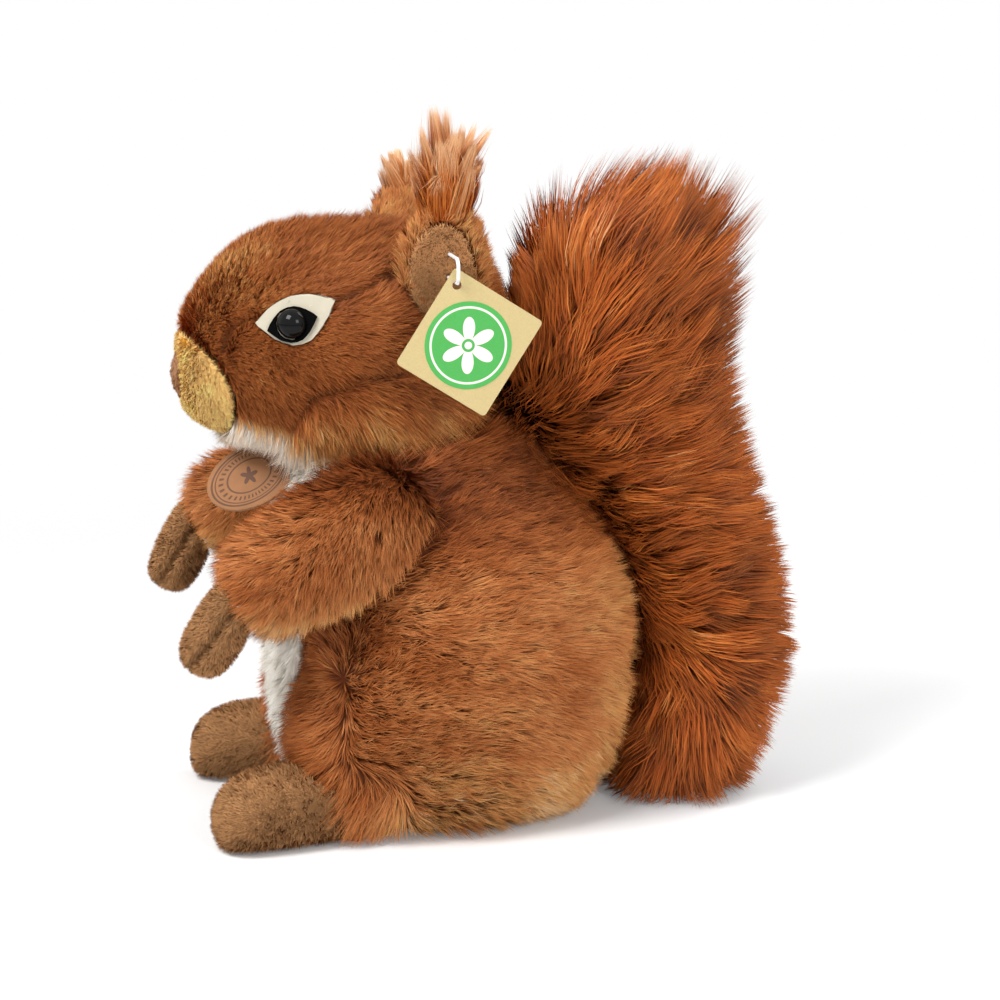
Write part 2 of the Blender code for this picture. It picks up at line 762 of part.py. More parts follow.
def make_foot(label, side, form, body_clearance, ground, parts, cutters):
    """A foot from under the haunch: (way along, width, half height, middle's height)."""
    toe_out = Vector((side * math.sin(FOOT_TOE_OUT), -math.cos(FOOT_TOE_OUT), 0))
    front = surface_point(form, (0, 0, FOOT_HEIGHT / 2), (0, -1, 0))
    toe = front + Vector((side * (BODY_WIDTH / 2 - FOOT_INSET), -FOOT_REACH, 0))
    heel = toe - toe_out * FOOT_LENGTH
    shape = (
        (0.00, 0.66, 0.336, 0.326),
        (0.22, 0.92, 0.504, 0.411),
        (0.62, 1.00, 0.582, 0.451),
        (0.90, 0.92, 0.470, 0.394),
        (1.00, 0.52, 0.258, 0.286),
    )
    across = Vector((0, 0, 1)).cross(toe_out)
    rings = []
    for along, wide, high, middle in shape:
        centre = heel + toe_out * (along * FOOT_LENGTH)
        centre.z = middle * FOOT_HEIGHT
        rise = Vector((0, 0, high * FOOT_HEIGHT))
        rings.append(ring_points(centre, across * (wide * FOOT_WIDTH / 2), rise, LIMB_SIDES))
    foot = loft(f"{label}_foot", rings, parts)
    cut(foot, body_clearance, ground)
    for index, place in enumerate((-1, 1)):
        crease = ellipsoid(f"{label}_toe_crease_{index}",
                           (GROOVE_RADIUS, CREASE_DEPTH, CREASE_HEIGHT), cutters, 12, 8)
        crease.location = toe + across * (place * CREASE_SPREAD)
        cut(foot, crease)
    paint(foot, TAUPE, 0.9)


def make_tail(form, clearances, ground, parts):
    """The tail, seated on the lower back: (height, way behind it, depth, width) as shares."""
    shape = (
        (-0.05, 0.24, 0.56, 0.60),
        (0.08, 0.29, 0.66, 0.76),
        (0.22, 0.38, 0.72, 0.86),
        (0.38, 0.32, 0.67, 0.84),
        (0.55, 0.15, 0.75, 0.86),
        (0.70, 0.02, 0.81, 0.92),
        (0.88, 0.06, 0.99, 0.95),
        (0.97, 0.10, 0.74, 0.70),
        (1.00, 0.12, 0.42, 0.36),
    )
    back = surface_point(form, (0, 0, TAIL_SEAT_RISE), (0, 1, 0))
    rings = []
    for height, behind, depth, width in shape:
        away = back.y - TAIL_SINK + behind * TAIL_DEPTH
        centre = Vector((0, away, height * TAIL_HEIGHT))
        side = Vector((width * TAIL_WIDTH / 2, 0, 0))
        front = Vector((0, -depth * TAIL_DEPTH / 2, 0))
        rings.append(ring_points(centre, side, front, TAIL_SIDES))
    tail = loft("tail", rings, parts)
    cut(tail, *clearances, ground)
    paint(tail, TAIL_RUST, 0.9)


def main():
    clear_scene()
    parts = make_collection("plush_squirrel")
    cutters = make_collection("cutters")
    ground = make_ground(cutters)
    head_shape = head_form("head_form", cutters)
    head_clearance = grown(head_shape, GAP, cutters)
    body_shape = make_body(parts, cutters, head_clearance, ground)
    body_clearance = grown(body_shape, GAP, cutters)

    head = head_form("head", parts)
    tip = make_muzzle(head, parts, cutters)
    make_nose(tip, head_clearance, parts)
    paint(head, RUST, 0.9)
    for label, side in SIDES.items():
        make_eye(label, side, head, head_shape, parts, cutters)
        ear, lining, hollow = make_ear(label, side, head_shape, head_clearance, parts, cutters)
        if side > 0:
            make_tag(hollow, ear, lining, parts, cutters)
        make_arm(label, side, body_shape, (body_clearance, head_clearance), parts, cutters)
        make_foot(label, side, body_shape, body_clearance, ground, parts, cutters)
    make_badge(body_shape, (body_clearance, head_clearance), parts)
    make_tail(body_shape, (body_clearance, head_clearance), ground, parts)
    for obj in cutters.objects:
        obj.hide_render = True
        obj.display_type = "WIRE"

    squirrel = new_object("squirrel", None, parts)
    for piece in parts.objects:
        if piece != squirrel:
            piece.parent = squirrel


main()
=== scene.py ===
"""Looks for the sitting plush squirrel: piles, plush, felts, eyes, card tag and leather badge.

Every furry piece is a backing shell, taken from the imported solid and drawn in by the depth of
its pile, with strands of cut ribbon growing from it. A strand is coloured through its map:
across the map lies the shade of its dye and up the map lies the way from root to tip.
"""

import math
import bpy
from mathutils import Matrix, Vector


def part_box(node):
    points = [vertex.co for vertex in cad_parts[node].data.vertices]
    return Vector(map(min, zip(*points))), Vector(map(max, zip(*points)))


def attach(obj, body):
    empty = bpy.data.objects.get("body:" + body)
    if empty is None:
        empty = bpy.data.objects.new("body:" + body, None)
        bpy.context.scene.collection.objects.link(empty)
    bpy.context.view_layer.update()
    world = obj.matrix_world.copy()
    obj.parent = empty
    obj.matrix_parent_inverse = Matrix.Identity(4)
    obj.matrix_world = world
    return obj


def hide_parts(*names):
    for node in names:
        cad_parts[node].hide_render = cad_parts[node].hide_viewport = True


bl_info = {
    "name": "Plush Squirrel",
    "version": (1, 0, 0),
    "blender": (4, 5, 0),
    "location": "View3D > Sidebar > Plush",
    "description": "Piles, felts, eyes, tag and badge for a sitting plush squirrel",
    "category": "Object",
}

from collections import namedtuple

import bmesh
import bpy
import numpy as np
from bpy.props import FloatProperty, FloatVectorProperty, IntProperty, PointerProperty
from mathutils import Matrix, Vector
from mathutils.bvhtree import BVHTree
from mathutils.kdtree import KDTree

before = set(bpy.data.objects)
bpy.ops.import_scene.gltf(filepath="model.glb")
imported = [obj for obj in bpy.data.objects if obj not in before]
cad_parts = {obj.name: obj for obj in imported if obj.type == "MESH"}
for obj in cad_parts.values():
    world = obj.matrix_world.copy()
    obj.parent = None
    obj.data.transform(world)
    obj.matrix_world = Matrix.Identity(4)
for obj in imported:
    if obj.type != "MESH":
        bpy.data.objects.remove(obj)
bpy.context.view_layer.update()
BODY = "root"
MAP = "OFBake"
SIDES = {"left": 1, "right": -1}

UP = np.array([0.0, 0.0, 1.0])
BACK = np.array([0.0, 1.0, 0.0])
OUT = np.array([1.0, 0.0, 0.0])

# A map column holds one shade of dye. Strands keep inside their column.
SHADES = 60
STRIP = 0.0028
MAP_EDGE = 0.03
SHELL_LOW = 0.03
SHELL_HIGH = 0.07

# How near a neighbour has to lie for the pile between the two to be left out, and how far
# under the skin the search for it starts
CONTACT = 0.0008
SEARCH_START = 0.0006

# How far a strand's end stays above the floor
FLOOR_GAP = 0.0006

# How much the rise of a lock, and of each strand in it, varies, and the limits of the rise
LOCK_RISE = 0.22
STRAND_RISE = 0.16
RISE_LIMITS = (0.12, 1.45)

# How much the length and the width of a strand vary
LENGTH_SPREAD = (0.72, 1.12)
WIDTH_SPREAD = (0.75, 1.25)

# How far a ribbon turns about its strand, in radians, and how much its facing varies
ROLL = 0.6
FACING_SPREAD = 0.12

# Share of the skin's own facing in the shading of a strand
SKIN_SHARE = 0.7

# Pieces that no strand may pass through
HARD_NODES = ("badge", "hang_tag", "tag_loop", "left_eye", "right_eye", "left_eye_patch",
              "right_eye_patch", "left_eye_liner", "right_eye_liner", "nose")

Shell = namedtuple("Shell", "points triangles normals")

# The number of strands, their width in metres, the rise from the skin at the root in radians, the
# share of it that is lost by the tip, how far whole locks and single strands turn aside, the
# strands in a lock, how far a lock closes at its tip, the pieces of a strand, and its wave
Coat = namedtuple("Coat", "count width lift fall part fuzz lock gather segments wave", defaults=[0.0])

COATS = {
    "body": Coat(130000, 0.00044, 0.74, 0.0, 0.20, 0.26, 14, 0.20, 1),
    "head": Coat(118000, 0.00036, 0.72, 0.0, 0.12, 0.22, 10, 0.12, 1),
    "ruff": Coat(8000, 0.00042, 0.55, 0.4, 0.25, 0.2, 40, 0.6, 3, 0.3),
    "arm": Coat(24000, 0.00044, 0.72, 0.0, 0.22, 0.25, 14, 0.30, 1),
    "belly": Coat(26000, 0.00045, 0.75, 0.0, 0.2, 0.3, 12, 0.3, 1),
    "ear": Coat(12000, 0.00038, 0.62, 0.0, 0.22, 0.25, 14, 0.35, 1),
    "plush": Coat(7000, 0.00030, 1.05, 0.0, 0.3, 0.5, 8, 0.08, 1),
    "left_tuft": Coat(7000, 0.00028, 0.05, 0.0, 0.17, 0.07, 90, 0.80, 3, 0.25),
    "right_tuft": Coat(2400, 0.00028, 0.05, 0.0, 0.17, 0.07, 90, 0.80, 3, 0.25),
    "tail_inner": Coat(30000, 0.00052, 1.00, 0.75, 0.18, 0.16, 34, 0.40, 3, 0.25),
    "tail_outer": Coat(34000, 0.00044, 0.90, 0.80, 0.15, 0.13, 26, 0.40, 3, 0.24),
}

# Where the zones of the body begin and are full, along y or z
CHEST_Y = (-0.034, -0.056)
CHEST_Z = (0.035, 0.060)
APRON_Y = (-0.018, -0.034)
APRON_Z = (0.034, 0.016)
BODY_TOP_Z = (0.080, 0.115)
BODY_REAR_Y = (0.025, 0.055)
BODY_FOOT_Y = (-0.040, -0.010)
BODY_FOOT_Z = (0.045, 0.010)

# Seams on the side of the head, each from its back to its front as (y, z)
BROW_SEAM = ((-0.0200, 0.1865), (-0.0305, 0.1832), (-0.0390, 0.1795), (-0.0465, 0.1769))
SNOUT_SEAM = ((-0.0690, 0.1708), (-0.0740, 0.1706), (-0.0783, 0.1685), (-0.0816, 0.1605))
CHEEK_SEAM = ((-0.0265, 0.1551), (-0.0397, 0.1520), (-0.0550, 0.1470), (-0.0605, 0.1375))
SEAM_WIDTH = 0.0020
SEAM_DEPTH = 0.0016

# The shade of each ear tuft, left and right: the far right tuft is paler with painted light
TUFT_TONES_WITH_PAINTED_LIGHT = (0.56, 0.72)

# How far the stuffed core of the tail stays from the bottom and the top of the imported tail
TAIL_BOTTOM = 0.007
TAIL_CROWN = 0.034

# For each coat of the tail: the number of its draws, and the least and the most of the way to the
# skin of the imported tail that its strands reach
TAIL_COATS = {"inner": (264, 0.45, 0.85), "outer": (224, 0.80, 1.14)}

# Which way the long pile of the tail sweeps, in degrees above level, at each height
SWEEP = ((0.0, -48), (0.03, -32), (0.06, -8), (0.09, 13), (0.12, 28), (0.15, 40), (0.18, 50), (0.21, 58))

# The dome of an eye and its shank, which reaches to its washer
EYE_RADIUS = 0.0048
EYE_RISE = 0.0042
EYE_SEAT = 0.0040
SHANK_RADIUS = 0.0016
SHANK_LENGTH = 0.0113
EYE_SIDES = 48
EYE_TURN = math.radians(27)
EYE_TILT = math.radians(6)

# The print on the card: a disc with a ring and a rosette round a hub
TAG_SLANT = math.radians(-32.6)
DISC_DROP = 0.0010
DISC_RADIUS = 0.0139
RING = (0.01165, 0.01235)
PETAL_ROOT = 0.0022
PETAL_LENGTH = 0.0068
HEART_RADIUS = 0.0021
HUB_RADIUS = 0.0012
PRINT_EDGE = 0.00012
PRINT_PALE = (0.82, 0.78, 0.70)
CARD_SPECK = (0.30, 0.19, 0.08)

# The badge: half its length and width, (place, half width) of each burnt ring as shares of its
# oval, the beads between the rings, and the star in the middle
BADGE_HALVES = (0.0160, 0.01025)
BADGE_RINGS = ((0.86, 0.018), (0.78, 0.009), (0.50, 0.016))
BADGE_BEADS = 34
STAR_POINTS = 5
STAR_RADIUS = 0.0022
STAR_DEPTH = 0.0009

# Each lamp: azimuth and elevation in degrees, distance, size and the setting of its power
LAMPS = {
    "key_lamp": (35, 48, 0.9, 0.38, "key_light"),
    "side_lamp": (110, 25, 1.0, 0.35, "side_light"),
    "rim_lamp": (200, 48, 0.9, 0.5, "rim_light"),
}
LAMP_AIM = (0, 0.02, 0.10)
SENSOR_WIDTH = 36

# How far from the middle the floor turns to plain white, and how much the camera's view lifts it
FLOOR_FADE = (0.22, 0.55)
FLOOR_LIFT = 0.12
FLOOR_WHITE = 0.86


def length_property(name, description, value):
    """A setting in metres."""
    return FloatProperty(name=name, description=description, default=value, unit="LENGTH")


def power_property(name, description, value):
    """A setting in watts."""
    return FloatProperty(name=name, description=description, default=value, unit="POWER")


def angle_property(name, description, degrees):
    """A setting given in degrees and kept in radians."""
    return FloatProperty(name=name, description=description, default=math.radians(degrees), subtype="ANGLE")


def colour_property(name, description, value):
    """A setting of one dye."""
    return FloatVectorProperty(name=name, description=description, default=value, subtype="COLOR", min=0,
                               max=1)


class StageSettings(bpy.types.PropertyGroup):
    """Camera, floor and lamps."""

    azimuth: angle_property("Azimuth", "Way round from the front", 78.5)
    elevation: angle_property("Elevation", "Height of the view", 12)
    distance: length_property("Distance", "Camera to the middle of the view", 0.92)
    lens: FloatProperty(name="Lens", description="Focal length in millimetres", default=98, unit="CAMERA")
    target: FloatVectorProperty(name="Target", description="Middle of the view", default=(0, 0.014, 0.1036),
                                unit="LENGTH", subtype="TRANSLATION")
    floor_size: length_property("Floor", "Width of the floor", 8)
    world_light: FloatProperty(name="World light", description="Strength of the light from all round",
                               default=0.45)
    key_light: power_property("Key light", "Power of the large lamp above", 7.5)
    side_light: power_property("Side light", "Power of the lamp by the camera", 3.2)
    rim_light: power_property("Rim light", "Power of the lamp behind the tail", 3.5)


class CoatSettings(bpy.types.PropertyGroup):
    """Lengths and densities of the piles."""

    density: FloatProperty(name="Density", description="Share of the full number of strands", default=1,
                           min=0.05, max=1, subtype="FACTOR")
    body_pile: length_property("Body pile", "Length of the pile on the body", 0.0092)
    head_pile: length_property("Head pile", "Length of the pile on the head", 0.0068)
    ruff_pile: length_property("Ruff pile", "Length of the pile under the cheeks", 0.0145)
    arm_pile: length_property("Arm pile", "Length of the pile on the sleeves", 0.0092)
    ear_pile: length_property("Ear pile", "Length of the pile on the ears", 0.006)
    cream_pile: length_property("Cream pile", "Length of the pile on the belly", 0.006)
    snout_pile: length_property("Snout pile", "Length of the pile on the snout", 0.0022)
    plush_pile: length_property("Plush pile", "Length of the pile on paws and feet", 0.0021)
    felt_pile: length_property("Felt fuzz", "Length of the fuzz on the felts", 0.0006)
    tail_core: FloatProperty(name="Tail core", description="Share of the tail's radius that is stuffed",
                             default=0.52, subtype="FACTOR")
    seed: IntProperty(name="Seed", description="Starts the random draws", default=7)


class DyeSettings(bpy.types.PropertyGroup):
    """Colours of the dyes and finishes, as linear RGB."""

    mahogany: colour_property("Mahogany", "Deep roots of the tail", (0.045, 0.008, 0.002))
    umber: colour_property("Umber", "Roots of the short piles", (0.075, 0.018, 0.004))
    rust: colour_property("Rust", "Darker dye of the short piles", (0.230, 0.052, 0.010))
    russet: colour_property("Russet", "Middle dye of the short piles", (0.420, 0.120, 0.028))
    tan: colour_property("Tan", "Pinkish sheen of the short piles", (0.620, 0.235, 0.075))
    gold: colour_property("Gold", "Golden edges", (0.720, 0.380, 0.120))
    copper: colour_property("Copper", "Main dye of the tail", (0.430, 0.088, 0.012))
    amber: colour_property("Amber", "Lighter locks of the tail", (0.660, 0.215, 0.045))
    straw: colour_property("Straw", "Pale tips", (0.850, 0.580, 0.330))
    cream: colour_property("Cream", "White pile and felt", (0.920, 0.860, 0.760))
    felt: colour_property("Felt", "Felt round the eyes", (0.560, 0.510, 0.400))
    ochre: colour_property("Ochre", "Snout", (0.930, 0.600, 0.215))
    taupe: colour_property("Taupe", "Paws, feet and ear linings", (0.480, 0.240, 0.100))
    cocoa: colour_property("Cocoa", "Nose", (0.460, 0.230, 0.115))
    kraft: colour_property("Kraft", "Card of the tag", (0.570, 0.450, 0.215))
    green: colour_property("Green", "Printed disc", (0.075, 0.390, 0.085))
    leather: colour_property("Leather", "Badge", (0.340, 0.145, 0.050))
    ink: colour_property("Ink", "Burnt lines on the badge", (0.080, 0.030, 0.015))
    black: colour_property("Black", "Eyes and their felt", (0.004, 0.004, 0.004))
    white: colour_property("White", "Plastic fastener", (0.860, 0.860, 0.880))


def unit(vectors):
    """These vectors, each of length 1."""
    return vectors / np.maximum(np.linalg.norm(vectors, axis=-1, keepdims=True), 1e-9)


def dot(a, b):
    """The dot product of each pair of rows, as a column."""
    return np.sum(a * b, axis=-1, keepdims=True)


def ease(values, low, high):
    """A smooth step from 0 at low to 1 at high. High may be the lower of the two."""
    share = np.clip((values - low) / (high - low), 0, 1)
    return share * share * (3 - 2 * share)


def ripple(points, size, seed):
    """Smooth values of about -1 to 1 that change over about this size."""
    rng = np.random.default_rng(seed)
    total = np.zeros(len(points))
    for _ in range(7):
        wave = unit(rng.normal(size=3)) * rng.uniform(0.6, 1.5) * 2 * math.pi / size
        total += np.sin(points @ wave + rng.uniform(0, 2 * math.pi))
    return total / math.sqrt(7)


def lay(ways, normals):
    """These directions, laid flat on the skin."""
    return unit(ways - normals * dot(ways, normals))


def bump(points, centre, radius):
    """1 at the centre, and 0 at this radius and beyond."""
    return 1 - ease(np.linalg.norm(points - np.asarray(centre), axis=1), 0, radius)


def to_line(points, line):
    """How far each point is from a bent line."""
    nearest = np.full(len(points), 9.0)
    for start, end in zip(np.array(line[:-1]), np.array(line[1:])):
        span = end - start
        share = np.clip((points - start) @ span / (span @ span), 0, 1)
        nearest = np.minimum(nearest, np.linalg.norm(points - start - share[:, None] * span, axis=1))
    return nearest


def tree_of(nodes):
    """One search tree over the solids of these nodes."""
    points = []
    faces = []
    for name in nodes:
        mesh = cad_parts[name].data
        mesh.calc_loop_triangles()
        first = len(points)
        points += [vertex.co.copy() for vertex in mesh.vertices]
        faces += [[first + index for index in triangle.vertices] for triangle in mesh.loop_triangles]
    return BVHTree.FromPolygons(points, faces)


def arrays_of(mesh):
    """The mesh as a Shell."""
    mesh.calc_loop_triangles()
    points = np.empty(len(mesh.vertices) * 3)
    mesh.vertices.foreach_get("co", points)
    triangles = np.empty(len(mesh.loop_triangles) * 3, np.int32)
    mesh.loop_triangles.foreach_get("vertices", triangles)
    points = points.reshape(-1, 3)
    triangles = triangles.reshape(-1, 3)
    return Shell(points, triangles, normals_of(points, triangles))


def normals_of(points, triangles):
    """The facing at each point, from the triangles round it."""
    corners = points[triangles]
    across = np.cross(corners[:, 1] - corners[:, 0], corners[:, 2] - corners[:, 0])
    total = np.zeros_like(points)
    for index in range(3):
        np.add.at(total, triangles[:, index], across)
    return unit(total)


def shell_of(node, voxel=0.0, rounds=0):
    """The node's skin, evened out to this grid and smoothed."""
    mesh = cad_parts[node].data.copy()
    bm = bmesh.new()
    bm.from_mesh(mesh)
    bmesh.ops.remove_doubles(bm, verts=bm.verts, dist=1e-6)
    bmesh.ops.triangulate(bm, faces=bm.faces)
    bm.to_mesh(mesh)
    bm.free()
    if not voxel:
        return arrays_of(mesh)
    source = bpy.data.objects.new("shell", mesh)
    bpy.context.scene.collection.objects.link(source)
    even = source.modifiers.new("even", "REMESH")
    even.mode = "VOXEL"
    even.voxel_size = voxel
    soft = source.modifiers.new("soft", "SMOOTH")
    soft.factor = 0.5
    soft.iterations = rounds
    bpy.context.view_layer.update()
    graph = bpy.context.evaluated_depsgraph_get()
    made = bpy.data.meshes.new_from_object(source.evaluated_get(graph))
    bpy.data.objects.remove(source, do_unlink=True)
    shell = arrays_of(made)
    bpy.data.meshes.remove(made)
    return shell


def moved(shell, points):
    """The shell with its points here."""
    return Shell(points, shell.triangles, normals_of(points, shell.triangles))


def drawn_in(shell, depth):
    """The shell, moved in by this depth or by a depth for each point."""
    return moved(shell, shell.points - shell.normals * np.reshape(depth, (-1, 1)))


def bare_vertices(shell, node, reach=CONTACT):
    """1 at each vertex that has no neighbour close before it, and 0 at the others."""
    others = tree_of([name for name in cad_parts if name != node])
    bare = np.ones(len(shell.points))
    for index, (point, normal) in enumerate(zip(shell.points, shell.normals)):
        start = Vector(point - normal * SEARCH_START)
        if others.ray_cast(start, Vector(normal), reach + SEARCH_START)[0] is not None:
            bare[index] = 0
    return bare


def rng_of(settings, number):
    """Random draws that are the same each run and differ with this number."""
    return np.random.default_rng(settings.seed * 1000 + number)


def scatter(rng, shell, count, weight):
    """Random roots on the shell, with the chance of each vertex in weight."""
    corners = shell.points[shell.triangles]
    sides = np.cross(corners[:, 1] - corners[:, 0], corners[:, 2] - corners[:, 0])
    chance = np.linalg.norm(sides, axis=1) * weight[shell.triangles].mean(axis=1)
    picked = rng.choice(len(chance), count, p=chance / chance.sum())
    first, second = rng.random((2, count))
    fold = first + second > 1
    first[fold] = 1 - first[fold]
    second[fold] = 1 - second[fold]
    shares = np.stack([1 - first - second, first, second], axis=1)[:, :, None]
    faces = shell.triangles[picked]
    return (shell.points[faces] * shares).sum(axis=1), unit((shell.normals[faces] * shares).sum(axis=1))


def locks_of(rng, roots, count):
    """For each root the number of the root that leads its lock."""
    leaders = rng.choice(len(roots), max(count, 1), replace=False)
    tree = KDTree(len(leaders))
    for leader in leaders:
        tree.insert(Vector(roots[leader]), int(leader))
    tree.balance()
    return np.array([tree.find(Vector(root))[1] for root in roots])


def strands(rng, roots, normals, flow, length, coat, droop=0.0):
    """Bent strands, as an array of (strand, station, 3), and the lock of each."""
    count = len(roots)
    lock = locks_of(rng, roots, count // coat.lock)
    turn = rng.normal(size=count)[lock] * coat.part + rng.normal(size=count) * coat.fuzz
    rise = 1 + LOCK_RISE * rng.normal(size=count)[lock] + STRAND_RISE * rng.normal(size=count)
    phase = rng.uniform(0, 2 * math.pi, count)[lock]
    aside = np.cross(normals, flow)
    lean = flow * np.cos(turn)[:, None] + aside * np.sin(turn)[:, None]
    lift = np.clip(coat.lift * rise, *RISE_LIMITS)
    step = (length / coat.segments)[:, None]
    stations = [roots]
    for index in range(coat.segments):
        share = (index + 0.5) / coat.segments
        angle = lift * (1 - coat.fall * index / max(coat.segments - 1, 1))
        sway = coat.wave * share * np.sin(phase + 3.5 * share)
        way = lean * np.cos(angle)[:, None] + normals * np.sin(angle)[:, None]
        way = unit(way + aside * sway[:, None] - UP * droop * share)
        stations.append(stations[-1] + way * step)
    points = np.stack(stations, axis=1)
    share = (np.arange(coat.segments + 1) / coat.segments) ** 1.3 * coat.gather
    goal = points[lock] + (roots - roots[lock])[:, None, :] * 0.2
    return points + (goal - points) * share[None, :, None], lock


def kept(points, tree):
    """Which strands reach their tip without passing through a solid of the tree."""
    clear = np.ones(len(points), bool)
    for index, (root, tip) in enumerate(zip(points[:, 0], points[:, -1])):
        way = Vector(tip - root)
        clear[index] = tree.ray_cast(Vector(root), way.normalized(), way.length)[0] is None
    return clear


def ribbons(rng, points, normals, shade, width, own_share):
    """Flat tapered ribbons along the strands: points, triangles, map places and normals."""
    count, stations, _ = points.shape
    segments = stations - 1
    along = unit(np.diff(points, axis=1))
    facing = unit(normals + rng.normal(size=normals.shape) * FACING_SPREAD)
    angle = rng.uniform(-ROLL, ROLL, count)[:, None]
    rows = []
    places = []
    column = MAP_EDGE + np.round(np.clip(shade, 0, 1) * SHADES) / SHADES * (1 - 2 * MAP_EDGE)
    for index in range(segments):
        way = along[:, index]
        flat = unit(np.cross(way, facing))
        side = flat * np.cos(angle) + np.cross(flat, way) * np.sin(angle)
        share = index / segments
        swell = 1.1 if segments == 1 else 0.75 + share - 1.35 * share * share
        half = (width * swell / 2)[:, None]
        height = MAP_EDGE + share * (1 - 2 * MAP_EDGE)
        for hand in (-1, 1):
            rows.append(points[:, index] + side * half * hand)
            places.append(np.stack([column + STRIP * hand, np.full(count, height)], axis=1))
    rows.append(points[:, -1])
    places.append(np.stack([column, np.full(count, 1 - MAP_EDGE)], axis=1))
    corners = len(rows)
    spots = np.stack(rows, axis=1).reshape(-1, 3)
    places = np.stack(places, axis=1).reshape(-1, 2)
    first = np.arange(count)[:, None] * corners
    pattern = []
    for index in range(segments - 1):
        low = 2 * index
        pattern += [[low, low + 1, low + 3], [low, low + 3, low + 2]]
    pattern.append([corners - 3, corners - 2, corners - 1])
    triangles = (first[:, :, None] + np.array(pattern)[None, :, :]).reshape(-1, 3)
    owner = np.repeat(np.arange(count), len(pattern))
    sides = np.cross(spots[triangles[:, 1]] - spots[triangles[:, 0]],
                     spots[triangles[:, 2]] - spots[triangles[:, 0]])
    back = dot(sides, normals[owner])[:, 0] < 0
    triangles[back] = triangles[back][:, ::-1]
    sides[back] *= -1
    own = np.zeros_like(spots)
    for index in range(3):
        np.add.at(own, triangles[:, index], sides)
    shared = np.repeat(normals, corners, axis=0)
    return spots, triangles, places, unit(shared * SKIN_SHARE + unit(own) * own_share)


def shell_map(shell, shade):
    """A small triangle of the map for each triangle, at its shade and close to the root end."""
    middle = MAP_EDGE + np.clip(shade[shell.triangles].mean(axis=1), 0, 1) * (1 - 2 * MAP_EDGE)
    low = np.full(len(middle), SHELL_LOW)
    high = np.full(len(middle), SHELL_HIGH)
    corners = [np.stack([middle - STRIP, low], 1), np.stack([middle + STRIP, low], 1),
               np.stack([middle, high], 1)]
    return np.stack(corners, axis=1).reshape(-1, 2)


def add_mesh(name, layers, material):
    """One object of several (points, triangles, map places per corner, normals) layers."""
    points = np.concatenate([layer[0] for layer in layers])
    first = np.cumsum([0] + [len(layer[0]) for layer in layers[:-1]])
    triangles = np.concatenate([layer[1] + start for layer, start in zip(layers, first)])
    places = np.concatenate([layer[2] for layer in layers])
    normals = np.concatenate([layer[3] for layer in layers])
    mesh = bpy.data.meshes.new(name)
    mesh.vertices.add(len(points))
    mesh.vertices.foreach_set("co", points.astype(np.float32).ravel())
    mesh.loops.add(len(triangles) * 3)
    mesh.loops.foreach_set("vertex_index", triangles.astype(np.int32).ravel())
    mesh.polygons.add(len(triangles))
    mesh.polygons.foreach_set("loop_start", np.arange(0, len(triangles) * 3, 3, dtype=np.int32))
    mesh.uv_layers.new(name=MAP).uv.foreach_set("vector", places.astype(np.float32).ravel())
    mesh.update(calc_edges=True)
    mesh.shade_smooth()
    mesh.normals_split_custom_set_from_vertices(normals.astype(np.float32))
    obj = bpy.data.objects.new(name, mesh)
    bpy.context.scene.collection.objects.link(obj)
    mesh.materials.append(material)
    return obj


def stand_for(obj, slot, *nodes, fill=None):
    """The piece takes the place of these nodes. The slot is not used."""
    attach(obj, BODY)
    if nodes:
        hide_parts(*nodes)


def skin(shell, shade):
    """The backing as a layer of a piece."""
    return shell.points, shell.triangles, shell_map(shell, shade), shell.normals


def coat_of(rng, points, normals, shade, width, own_share=0.5):
    """Strands as a layer of a piece."""
    spots, triangles, places, facing = ribbons(rng, points, normals, shade, width, own_share)
    return spots, triangles, places[triangles.ravel()], facing


def grow(shell, weight, coat, length_of, flow_of, shade_of, settings, seed, droop=0.0, spread=0.055,
         own_share=0.5):
    """Pile on a shell, as a layer. The three functions work on the roots."""
    rng = rng_of(settings, seed)
    roots, normals = scatter(rng, shell, int(coat.count * settings.density), weight)
    length = length_of(roots) * rng.uniform(*LENGTH_SPREAD, len(roots))
    flow = lay(flow_of(roots), normals)
    points, lock = strands(rng, roots, normals, flow, length, coat, droop)
    points[:, :, 2] = np.maximum(points[:, :, 2], FLOOR_GAP)
    shade = shade_of(roots) + rng.normal(size=len(roots))[lock] * spread
    shade += rng.normal(size=len(roots)) * spread
    clear = kept(points, tree_of(HARD_NODES))
    width = coat.width * rng.uniform(*WIDTH_SPREAD, len(roots))
    return coat_of(rng, points[clear], normals[clear], shade[clear], width[clear], own_share)


def tinted(dye, share, most=1.0):
    """This dye, lighter or darker."""
    return tuple(np.minimum(np.array(dye) * share, most))


def mix(tree, factor, first, second, blend="MIX"):
    """One Mix Color node. Each value is a socket or a plain value."""
    mixer = tree.nodes.new("ShaderNodeMix")
    mixer.data_type = "RGBA"
    mixer.blend_type = blend
    feed(tree, mixer.inputs[0], factor)
    feed(tree, mixer.inputs[6], first)
    feed(tree, mixer.inputs[7], second)
    return mixer.outputs[2]


def feed(tree, socket, value):
    """Links a socket to this one, or sets its value."""
    if isinstance(value, bpy.types.NodeSocket):
        tree.links.new(value, socket)
    elif socket.type == "RGBA":
        socket.default_value = (*value, 1)
    else:
        socket.default_value = value


def sums(tree, operation, *values):
    """One Math node."""
    node = tree.nodes.new("ShaderNodeMath")
    node.operation = operation
    for socket, value in zip(node.inputs, values):
        feed(tree, socket, value)
    return node.outputs[0]


def turns(tree, operation, *values):
    """One Vector Math node, with the output that its operation has."""
    node = tree.nodes.new("ShaderNodeVectorMath")
    node.operation = operation
    for socket, value in zip(node.inputs, values):
        feed(tree, socket, value)
    return node.outputs["Value" if operation in ("DOT_PRODUCT", "LENGTH") else "Vector"]


